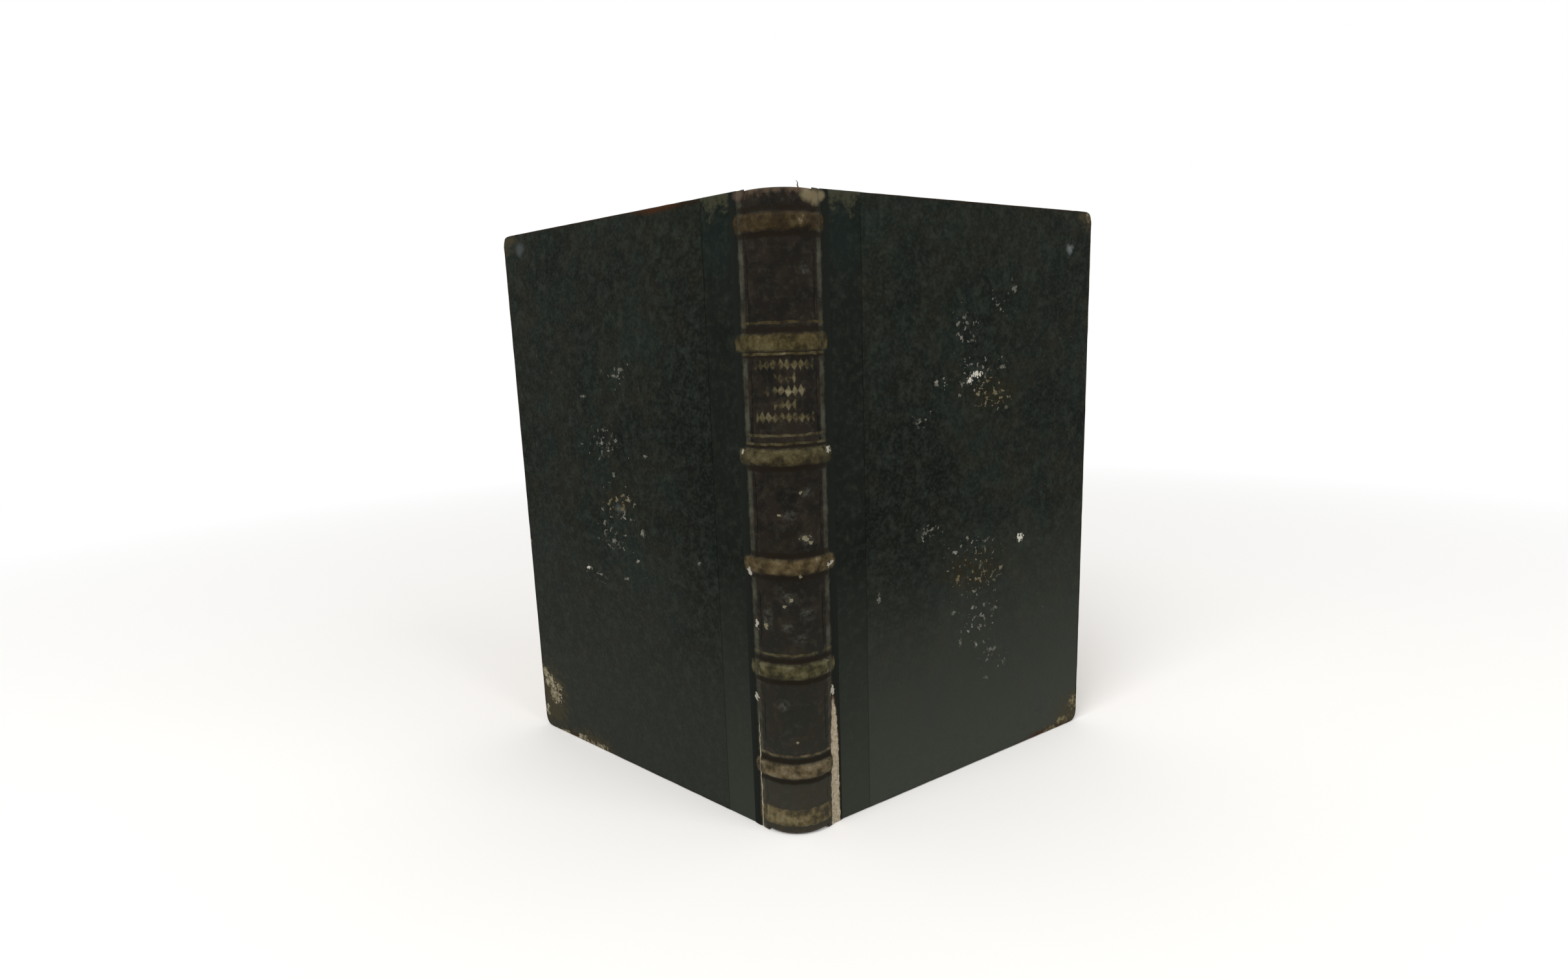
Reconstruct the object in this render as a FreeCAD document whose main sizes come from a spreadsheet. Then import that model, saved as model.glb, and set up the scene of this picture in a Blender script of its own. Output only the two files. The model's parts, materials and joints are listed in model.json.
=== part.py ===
import FreeCAD, Part
import math
import os
import Sketcher

# An old octavo in quarter leather, standing open on its tail with the spine to the viewer.
# Millimetres. The text block stands on the Y axis side, its fore-edge towards +Y; the front
# cover opens to +X and the back cover to -X. Z is up and the covers rest on Z = 0.

SIZES = [
    # boards and what covers them
    ("boardHeight", "210", "height of the covers, head to tail"),
    ("boardWidth", "129.7", "hinge line to fore-edge"),
    ("boardThick", "2.4", "pasteboard"),
    ("coveringThick", "0.4", "cover cloth and pared leather on the boards"),
    ("cornerRound", "3.5", "worn fore corners of the boards"),
    ("turnIn", "15", "width of the turned-in edges"),
    ("leatherOverlap", "15.6", "spine leather on each board, from the hinge line"),
    ("pastedownThick", "0.2", "endpaper pasted inside the board"),
    ("pastedownMargin", "4", "bare turn-in around the pastedown"),
    ("pastedownStep", "0.6", "slope of the pastedown at the turn-in edge"),
    # text block
    ("blockThick", "17.65", "thickness of the leaves"),
    ("square", "3", "board beyond the leaves at head and tail"),
    ("foreSquare", "3.2", "board beyond the leaves at the fore-edge"),
    ("foreHollow", "4.5", "depth of the hollow fore-edge"),
    ("shoulderFlare", "0.8", "backed shoulder beside the joint"),
    ("flyleafThick", "0.15", "one free leaf of endpaper"),
    ("flyleafInset", "0.5", "flyleaf short of the leaves at the fore-edge"),
    ("coverGap", "0.3", "closed cover to flyleaf"),
    # spine
    ("spineSag", "7", "roundness of the spine between its two edges"),
    ("spineEdge", "0.38", "spine leather short of the hinge line"),
    ("leatherThick", "0.8", "leather over the spine"),
    ("liningThick", "0.4", "paper lining, and the pared turned-in leather"),
    ("liningInset", "0.3", "lining short of the shoulders"),
    ("liningClear", "0.2", "lining to cord, and to turned-in leather"),
    ("trimAngle", "3", "leather swept past its cut edge"),
    ("tailTurnIn", "9", "leather turned in at the tail"),
    ("headTurnIn", "0.5", "turned-in leather short of the highest cord"),
    ("endbandThick", "1.3", "sewn endband, across its flats"),
    ("endbandInset", "0.5", "endband short of the leaves"),
    ("capGap", "0.25", "endband to leather cap"),
    # raised bands
    ("bandCount", "6", "sewing cords and raised bands"),
    ("cordHeight", "1.3", "raised sewing cord, flattened on the backs of the leaves"),
    ("cordWidth", "3.2", "cord at its foot"),
    ("cordCrown", "1.9", "width of the cord at its top"),
    ("cordPassage", "0.5", "depth of the way inside the leather, by which a cord runs out to its board"),
    ("bandWidth", "5", "raised leather band"),
    ("bandFoot", "0.15", "low ridge on which a band runs out to the joints"),
    ("bandSpread", "0.6", "slope of that ridge"),
    ("tailPanel", "23.5", "floor to the lowest band"),
    ("headPanel", "10", "highest band to the head of the boards"),
    ("bandInset", "5.3", "degrees from the end of a band to the leather edge"),
    ("cordInset", "6.3", "degrees from the end of a cord to the leather edge"),
    # joints
    ("jointClear", "0.4", "hinge line to the near edge of a cover"),
    ("slipLength", "12", "frayed cord laced into the board"),
    ("slipRoot", "2.6", "width of a slip at the joint"),
    ("slipEnd", "6", "width of a slip where it is frayed out"),
    ("slipThick", "0.5", "depth of a slip in the board"),
    ("frontOpening", "57.73", "front cover from the closed position, degrees"),
    ("backOpening", "48.66", "back cover from the closed position, degrees"),
]

doc = FreeCAD.newDocument("book")
sheet = doc.addObject("Spreadsheet::Sheet", "size")
for row, (alias, value, note) in enumerate(SIZES, start=1):
    sheet.set(f"A{row}", alias)
    sheet.set(f"B{row}", value)
    sheet.set(f"C{row}", note)
    sheet.setAlias(f"B{row}", alias)
doc.recompute()

# Sizes that follow from the driving ones, as expressions.
cover_thick = "(2 * size.coveringThick + size.boardThick + size.pastedownThick)"
turn_in_depth = "(2 * size.coveringThick + size.boardThick)"
board_under = "(size.coveringThick + size.boardThick)"
half_block = "(size.blockThick / 2)"
hinge_half = f"({half_block} + size.flyleafThick + size.coverGap + {cover_thick})"
half_chord = f"({hinge_half} - size.spineEdge)"
leather_radius = f"(({half_chord} ^ 2 + size.spineSag ^ 2) / (2 * size.spineSag))"
spine_centre = f"({leather_radius} - size.spineSag)"
lining_radius = f"({leather_radius} - size.leatherThick)"
block_radius = f"({lining_radius} - size.liningThick)"
passage_radius = f"({block_radius} + size.cordPassage)"
band_radius = f"({block_radius} + size.cordHeight + size.leatherThick)"
edge_angle = f"(acos({spine_centre} / {leather_radius}) / 1 deg)"
cord_angle = f"({edge_angle} - size.cordInset)"
fore_edge = "(size.boardWidth - size.foreSquare)"
block_top = "(size.boardHeight - size.square)"
head_band = "(size.boardHeight - size.headPanel)"
band_pitch = f"(({head_band} - size.tailPanel) / (size.bandCount - 1))"
cap_inner = "(size.endbandThick / 2 + size.capGap)"
cap_centre = f"({block_radius} - {cap_inner})"
cap_outer = f"({leather_radius} - {cap_centre})"
eighth = "tan(22.5)"
frame_x = "(size.boardWidth * (sin(size.frontOpening) - sin(size.backOpening)) / 2)"
frame_y = f"(({fore_edge} + {spine_centre} - {band_radius}) / 2)"

UP = FreeCAD.Vector(0, 0, 1)
SPINE_TURN = -90
pieces = []


def number(text):
    return float(sheet.evalExpression(text))


def place(body, x, y, turn):
    # The body is carried to its seat in the standing book, turned about the upright axis.
    body.Placement = FreeCAD.Placement(FreeCAD.Vector(0, 0, 0), FreeCAD.Rotation(UP, 1))
    body.setExpression(".Placement.Base.x", x)
    body.setExpression(".Placement.Base.y", y)
    body.setExpression(".Placement.Rotation.Angle", turn)


def new_body(label, seat):
    body = doc.addObject("PartDesign::Body", label)
    body.Label = label
    place(body, *seat)
    pieces.append(body)
    return body


def new_sketch(body, name, role, lift="0"):
    # lift moves the sketch along the normal of the chosen origin plane.
    sketch = body.newObject("Sketcher::SketchObject", name)
    plane = next(item for item in body.Origin.OriginFeatures if item.Role == role)
    sketch.AttachmentSupport = [(plane, "")]
    sketch.MapMode = "FlatFace"
    if lift != "0":
        sketch.setExpression(".AttachmentOffset.Base.z", lift)
    return sketch


def pin(sketch, kind, edge, point, text):
    # One coordinate of a corner, measured from the sketch's origin and bound to the sheet.
    if text == "0":
        axis = -2 if kind == "DistanceX" else -1
        sketch.addConstraint(Sketcher.Constraint("PointOnObject", edge, point, axis))
        return
    rule = Sketcher.Constraint(kind, -1, 1, edge, point, number(text))
    index = sketch.addConstraint(rule)
    sketch.setExpression(f"Constraints[{index}]", text)


def outline(sketch, corners, arcs=None):
    # A closed outline through the corners. arcs gives, for the stretch that starts at a
    # corner, its centre and radius; every other stretch is straight.
    arcs = arcs or {}
    spots = [FreeCAD.Vector(number(x), number(y), 0) for x, y in corners]
    starts = []
    ends = []
    for i, here in enumerate(spots):
        there = spots[(i + 1) % len(spots)]
        forward = True
        if i in arcs:
            centre_x, centre_y, radius = arcs[i]
            centre = FreeCAD.Vector(number(centre_x), number(centre_y), 0)
            first = math.atan2(here.y - centre.y, here.x - centre.x)
            last = math.atan2(there.y - centre.y, there.x - centre.x)
            forward = (last - first) % (2 * math.pi) < math.pi
            low, high = (first, last) if forward else (last, first)
            circle = Part.Circle(centre, UP, number(radius))
            edge = sketch.addGeometry(Part.ArcOfCircle(circle, low, high))
        else:
            edge = sketch.addGeometry(Part.LineSegment(here, there))
        starts.append((edge, 1 if forward else 2))
        ends.append((edge, 2 if forward else 1))
    for i, (x, y) in enumerate(corners):
        sketch.addConstraint(Sketcher.Constraint("Coincident", *ends[i - 1], *starts[i]))
        pin(sketch, "DistanceX", *starts[i], x)
        pin(sketch, "DistanceY", *starts[i], y)
    for i, (centre_x, centre_y, radius) in arcs.items():
        rule = Sketcher.Constraint("Radius", starts[i][0], number(radius))
        index = sketch.addConstraint(rule)
        sketch.setExpression(f"Constraints[{index}]", radius)


def box_corners(x_low, x_high, y_low, y_high):
    return [(x_low, y_low), (x_high, y_low), (x_high, y_high), (x_low, y_high)]


def octagon(x, y, half):
    # Eight flats about a middle, each at the distance half from it.
    near = f"{half} * {eighth}"
    steps = [
        (half, near), (near, half), (f"-{near}", half), (f"-{half}", near),
        (f"-{half}", f"-{near}"), (f"-{near}", f"-{half}"), (near, f"-{half}"), (half, f"-{near}"),
    ]
    return [(f"{x} + ({across})", f"{y} + ({rise})") for across, rise in steps]


def pad(body, name, sketch, length, backwards=False):
    feature = body.newObject("PartDesign::Pad", name)
    feature.Profile = sketch
    feature.setExpression("Length", length)
    feature.Reversed = backwards
    return feature


def cut(body, name, sketch, length, backwards=False):
    # A pocket that removed nothing would be silent, so the volume is compared.
    doc.recompute()
    before = body.Shape.Volume
    feature = body.newObject("PartDesign::Pocket", name)
    feature.Profile = sketch
    feature.setExpression("Length", length)
    feature.Reversed = backwards
    doc.recompute()
    if body.Shape.Volume >= before - 1e-6:
        raise ValueError(f"{name} removes nothing from {body.Label}")
    return feature


def turned(body, kind, name, sketch, half_angle):
    # A revolution or groove about the upright axis, the same to both sides of the middle.
    feature = body.newObject(f"PartDesign::{kind}", name)
    feature.Profile = sketch
    feature.ReferenceAxis = (sketch, ["V_Axis"])
    feature.setExpression("Angle", f"2 * {half_angle}")
    feature.Midplane = True
    return feature


def repeat_up(body, name, features, sketch):
    # Copies of the features at every sewing cord.
    pattern = body.newObject("PartDesign::LinearPattern", name)
    pattern.Originals = features
    pattern.Direction = (sketch, ["V_Axis"])
    pattern.setExpression("Length", f"{band_pitch} * (size.bandCount - 1)")
    pattern.setExpression("Occurrences", "size.bandCount")
    body.Tip = pattern
    return pattern


def carve_row(body, name, sketch, half_angle):
    # A groove at every sewing cord, with the same test as a pocket.
    doc.recompute()
    before = body.Shape.Volume
    groove = turned(body, "Groove", name, sketch, half_angle)
    repeat_up(body, name + "_row", [groove], sketch)
    doc.recompute()
    if body.Shape.Volume >= before - 1e-6:
        raise ValueError(f"{name} removes nothing from {body.Label}")


# Bodies about the spine have their own origin on the axis of the rounded back, local x
# towards the viewer, local y towards the front cover.
spine_seat = (f"-{frame_x}", f"{spine_centre} - {frame_y}", str(SPINE_TURN))


def make_text_block():
    # All the leaves, backed at the spine: a rounded back, two flared shoulders and a hollow
    # fore-edge.
    body = new_body("text_block", spine_seat)
    flare = f"({half_block} + size.shoulderFlare)"
    tip = f"sqrt({block_radius} ^ 2 - {flare} ^ 2)"
    root = f"({spine_centre} - size.jointClear + size.coverGap)"
    back = f"({spine_centre} - {fore_edge})"
    hollow = f"(({half_block} ^ 2 + size.foreHollow ^ 2) / (2 * size.foreHollow))"
    sketch = new_sketch(body, "leaves_outline", "XY_Plane", "size.square")
    outline(
        sketch,
        [
            (tip, f"-{flare}"),
            (tip, flare),
            (root, half_block),
            (back, half_block),
            (back, f"-{half_block}"),
            (root, f"-{half_block}"),
        ],
        {
            0: ("0", "0", block_radius),
            3: (f"{back} + size.foreHollow - {hollow}", "0", hollow),
        },
    )
    pad(body, "leaves", sketch, "size.boardHeight - 2 * size.square")


def make_flyleaf(label, side):
    # One free leaf of endpaper against the block; side is 1 at the front, -1 at the back.
    body = new_body(label, spine_seat)
    lift = f"{-side} * {half_block}"
    sketch = new_sketch(body, label + "_outline", "XZ_Plane", lift)
    near = f"({spine_centre} - size.jointClear)"
    far = f"({spine_centre} - {fore_edge} + size.flyleafInset)"
    outline(sketch, box_corners(far, near, "size.square", block_top))
    pad(body, label + "_leaf", sketch, "size.flyleafThick", side > 0)


def cord_section(middle):
    # A cord raised on the rounded back and hammered flat: broad at its foot, narrow on top.
    crown = f"({block_radius} + size.cordHeight)"
    return [
        (block_radius, f"({middle} - size.cordWidth / 2)"),
        (crown, f"({middle} - size.cordCrown / 2)"),
        (crown, f"({middle} + size.cordCrown / 2)"),
        (block_radius, f"({middle} + size.cordWidth / 2)"),
    ]


def make_sewing_cord(label, middle):
    body = new_body(label, spine_seat)
    sketch = new_sketch(body, label + "_section", "XZ_Plane")
    outline(sketch, cord_section(middle))
    turned(body, "Revolution", label + "_sweep", sketch, cord_angle)


def make_lining(label, low, high):
    # Paper pasted on the rounded back between two cords.
    body = new_body(label, spine_seat)
    sketch = new_sketch(body, label + "_section", "XZ_Plane")
    outline(sketch, box_corners(block_radius, lining_radius, low, high))
    reach = f"({half_block} + size.shoulderFlare - size.liningInset)"
    turned(body, "Revolution", label + "_sweep", sketch, f"(asin({reach} / {block_radius}) / 1 deg)")


def make_endband(label, middle):
    # A sewn roll that stands on the leaves, under the leather cap.
    body = new_body(label, spine_seat)
    sketch = new_sketch(body, label + "_section", "XZ_Plane")
    outline(sketch, octagon(cap_centre, middle, "size.endbandThick / 2"))
    reach = f"({half_block} - size.endbandInset)"
    turned(body, "Revolution", label + "_sweep", sketch, f"(asin({reach} / {cap_centre}) / 1 deg)")


def make_spine_leather():
    # One skin: the back, turned in at head and tail, drawn over the endbands into caps that
    # follow their flats, and moulded over the cords into raised bands.
    body = new_body("spine_leather", spine_seat)
    low = tail_roll
    high = head_roll
    tail_fold = "(size.square + size.tailTurnIn)"
    head_fold = f"({head_band} + size.cordWidth / 2 + size.headTurnIn)"
    wall = new_sketch(body, "skin_section", "XZ_Plane")
    outline(
        wall,
        [
            (leather_radius, f"{low} - {cap_outer} * {eighth}"),
            (leather_radius, f"{high} + {cap_outer} * {eighth}"),
            (f"{cap_centre} + {cap_outer} * {eighth}", f"{high} + {cap_outer}"),
            (cap_centre, f"{high} + {cap_outer}"),
            (cap_centre, f"{high} + {cap_inner}"),
            (f"{cap_centre} + {cap_inner} * {eighth}", f"{high} + {cap_inner}"),
            (block_radius, f"{high} + {cap_inner} * {eighth}"),
            (block_radius, head_fold),
            (lining_radius, head_fold),
            (lining_radius, tail_fold),
            (block_radius, tail_fold),
            (block_radius, f"{low} - {cap_inner} * {eighth}"),
            (f"{cap_centre} + {cap_inner} * {eighth}", f"{low} - {cap_inner}"),
            (cap_centre, f"{low} - {cap_inner}"),
            (cap_centre, f"{low} - {cap_outer}"),
            (f"{cap_centre} + {cap_outer} * {eighth}", f"{low} - {cap_outer}"),
        ],
    )
    swept = f"({edge_angle} + size.trimAngle)"
    turned(body, "Revolution", "skin", wall, swept)

    # A low ridge across the whole back, on which each band runs out to the joints.
    root = f"({leather_radius} - size.leatherThick / 2)"
    foot = f"({leather_radius} + size.bandFoot)"
    low_edge = "(size.tailPanel - size.bandWidth / 2)"
    high_edge = "(size.tailPanel + size.bandWidth / 2)"
    ridge = new_sketch(body, "ridge_section", "XZ_Plane")
    outline(
        ridge,
        [
            (root, f"{low_edge} - size.bandSpread"),
            (leather_radius, f"{low_edge} - size.bandSpread"),
            (foot, low_edge),
            (foot, high_edge),
            (leather_radius, f"{high_edge} + size.bandSpread"),
            (root, f"{high_edge} + size.bandSpread"),
        ],
    )
    low_ridge = turned(body, "Revolution", "ridge", ridge, swept)
    repeat_up(body, "ridges", [low_ridge], ridge)

    # Both long edges are cut level with the hinge lines.
    edge = new_sketch(body, "edge_cut", "XY_Plane")
    reach = f"(2 * {leather_radius})"
    outline(edge, box_corners("0", spine_centre, f"-{reach}", reach))
    cut(body, "edges", edge, "size.boardHeight", True)

    band = new_sketch(body, "band_section", "XZ_Plane")
    rise = f"({band_radius} - {foot})"
    crown = f"((size.bandWidth ^ 2 / 4 + {rise} ^ 2) / (2 * {rise}))"
    outline(
        band,
        [
            (root, low_edge),
            (foot, low_edge),
            (foot, high_edge),
            (root, high_edge),
        ],
        {1: (f"{band_radius} - {crown}", "size.tailPanel", crown)},
    )
    moulded = turned(body, "Revolution", "band", band, f"({edge_angle} - size.bandInset)")
    repeat_up(body, "bands", [moulded], band)

    # Inside, the hollow that each cord fills, and the shallow way on which it runs out.
    passage = new_sketch(body, "passage_section", "XZ_Plane")
    low_side = "(size.tailPanel - size.cordWidth / 2)"
    high_side = "(size.tailPanel + size.cordWidth / 2)"
    outline(passage, box_corners(block_radius, passage_radius, low_side, high_side))
    carve_row(body, "passage", passage, swept)
    hollow = new_sketch(body, "hollow_section", "XZ_Plane")
    outline(hollow, cord_section("size.tailPanel"))
    carve_row(body, "hollow", hollow, cord_angle)


def board_outline(near, margin, far_margin=None, round_by=None):
    # The face of a cover, cut back by a margin at head, tail and fore-edge.
    far_margin = far_margin or margin
    far = f"(size.boardWidth - {far_margin})"
    low = f"({margin})"
    high = f"(size.boardHeight - {margin})"
    if round_by is None:
        return box_corners(near, far, low, high), {}
    corners = [
        (near, low),
        (f"{far} - {round_by}", low),
        (far, f"{low} + {round_by}"),
        (far, f"{high} - {round_by}"),
        (f"{far} - {round_by}", high),
        (near, high),
    ]
    arcs = {
        1: (f"{far} - {round_by}", f"{low} + {round_by}", round_by),
        3: (f"{far} - {round_by}", f"{high} - {round_by}", round_by),
    }
    return corners, arcs


def make_cover(name, side, seat):
    # Local x runs from the hinge line to the fore-edge and z is up. The outer face lies at
    # y = 0 and the thickness goes inwards: to +y on the front cover, to -y on the back.
    inner_round = "(size.cornerRound - size.coveringThick)"
    window = ("size.turnIn", "size.boardHeight - size.turnIn")

    def face(body, label, depth):
        return new_sketch(body, f"{name}_{label}", "XZ_Plane", f"{-side} * {depth}")

    def raise_from(body, label, depth, length, shape):
        sketch = face(body, label, depth)
        outline(sketch, *shape)
        return sketch, pad(body, f"{name}_{label}_pad", sketch, length, side > 0)

    def sink_from(body, label, depth, length, shape):
        sketch = face(body, label, depth)
        outline(sketch, *shape)
        return sketch, cut(body, f"{name}_{label}_cut", sketch, length, side < 0)

    # Pasteboard, with a shallow recess for each laced-in cord.
    board = new_body(f"{name}_board", seat)
    shape = board_outline("size.jointClear", "size.coveringThick", None, inner_round)
    raise_from(board, "board", "size.coveringThick", "size.boardThick", shape)
    slip_far = "(size.jointClear + size.slipLength)"
    slip = [
        ("size.jointClear", "(size.tailPanel - size.slipRoot / 2)"),
        (slip_far, "(size.tailPanel - size.slipEnd / 2)"),
        (slip_far, "(size.tailPanel + size.slipEnd / 2)"),
        ("size.jointClear", "(size.tailPanel + size.slipRoot / 2)"),
    ]
    recess, recess_cut = sink_from(
        board, "recess", "size.coveringThick", "size.slipThick", (slip,)
    )
    repeat_up(board, f"{name}_recesses", [recess_cut], recess)

    # The frayed ends of the sewing cords, one for each band, let into the board.
    slips = new_body(f"{name}_cord_slips", seat)
    slips.AllowCompound = True
    first, first_pad = raise_from(
        slips, "slip", "size.coveringThick", "size.slipThick", (slip,)
    )
    repeat_up(slips, f"{name}_slip_row", [first_pad], first)

    # Side covering, wrapped over head, tail and fore-edge and turned in on the inside.
    covering = new_body(f"{name}_covering", seat)
    shape = board_outline("size.leatherOverlap", "0", None, "size.cornerRound")
    raise_from(covering, "wrap", "0", turn_in_depth, shape)
    shape = board_outline("size.leatherOverlap / 2", "size.coveringThick", None, inner_round)
    sink_from(covering, "wrap_inside", "size.coveringThick", "size.boardThick", shape)
    opening = box_corners("size.leatherOverlap / 2", "size.boardWidth - size.turnIn", *window)
    sink_from(covering, "wrap_window", board_under, "size.coveringThick", (opening,))

    # The side strip of the spine leather, turned in at head and tail.
    strip = new_body(f"{name}_leather", seat)
    whole = box_corners("size.jointClear", "size.leatherOverlap", "0", "size.boardHeight")
    raise_from(strip, "strip", "0", turn_in_depth, (whole,))
    inside = box_corners(
        "0", "2 * size.leatherOverlap", "size.coveringThick", "size.boardHeight - size.coveringThick"
    )
    sink_from(strip, "strip_inside", "size.coveringThick", "size.boardThick", (inside,))
    opening = box_corners("0", "2 * size.leatherOverlap", *window)
    sink_from(strip, "strip_window", board_under, "size.coveringThick", (opening,))

    # Pastedown: over the turned-in edges, and sunk to the bare board between them.
    paper = new_body(f"{name}_pastedown", seat)
    far = "size.boardWidth - size.pastedownMargin"
    sheet_corners = box_corners(
        "size.jointClear", far, "size.pastedownMargin", "size.boardHeight - size.pastedownMargin"
    )
    raise_from(paper, "paper", turn_in_depth, "size.pastedownThick", (sheet_corners,))
    well = box_corners("size.jointClear", "size.boardWidth - size.turnIn", *window)
    raise_from(paper, "paper_well", board_under, "size.coveringThick", (well,))
    dip = box_corners(
        "0",
        "size.boardWidth - size.turnIn - size.pastedownStep",
        "size.turnIn + size.pastedownStep",
        "size.boardHeight - size.turnIn - size.pastedownStep",
    )
    floor_depth = f"({board_under} + size.pastedownThick)"
    sink_from(paper, "paper_dip", floor_depth, "size.coveringThick", (dip,))


make_text_block()
make_flyleaf("front_flyleaf", 1)
make_flyleaf("back_flyleaf", -1)
band_places = [f"(size.tailPanel + {i} * {band_pitch})" for i in range(int(number("size.bandCount")))]
clear_of_cord = "(size.cordWidth / 2 + size.liningClear)"
for i, middle in enumerate(band_places):
    make_sewing_cord(f"sewing_cord_{i + 1}", middle)
    if i:
        foot = f"({band_places[i - 1]} + {clear_of_cord})"
    else:
        foot = "(size.square + size.tailTurnIn + size.liningClear)"
    make_lining(f"spine_lining_{i + 1}", foot, f"({middle} - {clear_of_cord})")
tail_roll = "(size.square - size.endbandThick / 2)"
head_roll = f"({block_top} + size.endbandThick / 2)"
make_endband("tail_endband", tail_roll)
make_endband("head_endband", head_roll)
make_spine_leather()
front_seat = (f"{hinge_half} - {frame_x}", f"-{frame_y}", "90 - size.frontOpening")
back_seat = (f"-{hinge_half} - {frame_x}", f"-{frame_y}", "90 + size.backOpening")
make_cover("front", 1, front_seat)
make_cover("back", -1, back_seat)

doc.recompute()
for item in doc.Objects:
    if "Invalid" in item.State or "Error" in item.State:
        raise ValueError(f"{item.Label} failed to build")
for body in pieces:
    if body.Shape.isNull() or not body.Shape.isValid():
        raise ValueError(f"{body.Label} has no valid shape")

os.makedirs("parts", exist_ok=True)
for body in pieces:
    body.Shape.exportStep(f"parts/{body.Label}.step")
    box = body.Shape.BoundBox
    print(body.Label, len(body.Shape.Solids), round(body.Shape.Volume, 1),
          [round(v, 2) for v in (box.XMin, box.XMax, box.YMin, box.YMax, box.ZMin, box.ZMax)])
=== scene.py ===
import json
import math
import random

import bmesh
import bpy
from mathutils import Matrix, Vector


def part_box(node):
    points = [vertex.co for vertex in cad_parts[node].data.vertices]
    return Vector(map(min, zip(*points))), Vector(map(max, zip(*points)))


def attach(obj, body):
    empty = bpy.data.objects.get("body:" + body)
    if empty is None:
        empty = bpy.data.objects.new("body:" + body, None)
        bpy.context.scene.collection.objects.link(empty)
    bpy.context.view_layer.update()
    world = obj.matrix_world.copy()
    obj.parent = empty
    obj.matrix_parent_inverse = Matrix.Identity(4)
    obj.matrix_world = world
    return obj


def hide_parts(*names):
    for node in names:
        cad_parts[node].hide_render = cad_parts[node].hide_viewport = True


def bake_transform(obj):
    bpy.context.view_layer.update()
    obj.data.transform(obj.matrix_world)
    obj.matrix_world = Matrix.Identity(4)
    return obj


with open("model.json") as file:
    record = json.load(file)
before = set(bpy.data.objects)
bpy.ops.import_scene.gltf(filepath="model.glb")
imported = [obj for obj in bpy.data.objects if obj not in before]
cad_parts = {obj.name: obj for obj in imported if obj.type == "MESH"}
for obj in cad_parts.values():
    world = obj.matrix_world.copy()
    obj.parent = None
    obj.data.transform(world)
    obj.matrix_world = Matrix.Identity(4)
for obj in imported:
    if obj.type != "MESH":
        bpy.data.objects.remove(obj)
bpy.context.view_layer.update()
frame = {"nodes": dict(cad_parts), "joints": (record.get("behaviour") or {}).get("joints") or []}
random.seed(7)
mm = 0.001

# The book: sizes that the pieces share, in millimetres, and what follows from the frame.
book = {
    "height": 210.0,
    "boardWidth": 129.7,
    "skinThick": 0.8,
    "spineSag": 7.0,
    "spineEdge": 0.38,
    "jointClear": 0.4,
    "leatherOverlap": 15.6,
    "turnIn": 15.0,
    "leavesThick": 17.65,
}
joints = {joint["name"]: joint for joint in frame["joints"]}
frontPin = Vector(joints["front_hinge"]["pos_m"])
backPin = Vector(joints["back_hinge"]["pos_m"])
frontOpening = math.radians(-joints["front_hinge"]["range_deg"][0])
backOpening = math.radians(-joints["back_hinge"]["range_deg"][0])
middle = (frontPin + backPin) / 2
halfSpan = (frontPin.x - backPin.x) / 2 / mm
halfChord = halfSpan - book["spineEdge"]
spineRadius = (halfChord ** 2 + book["spineSag"] ** 2) / (2 * book["spineSag"])
spineCentre = spineRadius - book["spineSag"]      # from the hinge plane to the axis of the rounded back
edgeAngle = math.acos(spineCentre / spineRadius)
spineAxis = (middle.x, middle.y + spineCentre * mm, 0)
bandHeights = []
for number in range(1, 7):
    low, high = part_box(f"sewing_cord_{number}")
    bandHeights.append((low.z + high.z) / 2 / mm)

# Each cover in its own measure: along from the hinge, inward from its outer face, and up.
sides = {
    "front": {"pin": frontPin, "turn": math.pi / 2 - frontOpening, "sign": 1},
    "back": {"pin": backPin, "turn": math.pi / 2 + backOpening, "sign": -1},
}
for side in sides.values():
    side["seat"] = Matrix.Translation(side["pin"]) @ Matrix.Rotation(side["turn"], 4, "Z")


def coverSpot(side, along, inward, up):
    return side["seat"] @ Vector((along * mm, side["sign"] * inward * mm, up * mm))


def spineSpot(angle, radius, up):
    # angle from the middle of the back, towards the front cover
    return Vector((
        middle.x + radius * mm * math.sin(angle),
        middle.y + (spineCentre - radius * math.cos(angle)) * mm,
        up * mm,
    ))


def onBack(co):
    # angle from the middle of the back, and distance from its axis in millimetres
    across, deep = co.x - spineAxis[0], spineAxis[1] - co.y
    return math.atan2(across, deep), math.hypot(across, deep) / mm


# Small helpers for working on one piece at a time.
def focus(piece=None):
    # object mode, with only this piece selected
    if bpy.context.mode != "OBJECT":
        bpy.ops.object.mode_set(mode="OBJECT")
    bpy.ops.object.select_all(action="DESELECT")
    if piece:
        piece.select_set(True)
        bpy.context.view_layer.objects.active = piece


def openPiece(piece):
    focus(piece)
    bpy.ops.object.mode_set(mode="EDIT")


def selectAll():
    bpy.ops.mesh.select_all(action="SELECT")


def closePiece(weld=True):
    # doubled points are joined and every face turned outwards
    selectAll()
    if weld:
        bpy.ops.mesh.remove_doubles(threshold=0.001 * mm)
    bpy.ops.mesh.normals_make_consistent(inside=False)
    bpy.ops.object.mode_set(mode="OBJECT")


def settle(name):
    # names what was just added and applies its place and scale
    piece = bpy.context.object
    piece.name = name
    piece.data.name = name
    bpy.ops.object.transform_apply(location=True, rotation=True, scale=True)
    return piece


def addBlock(name, centre, size):
    focus()
    bpy.ops.mesh.primitive_cube_add(size=1, location=[value * mm for value in centre])
    bpy.context.object.scale = [value * mm for value in size]
    return settle(name)


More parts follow.
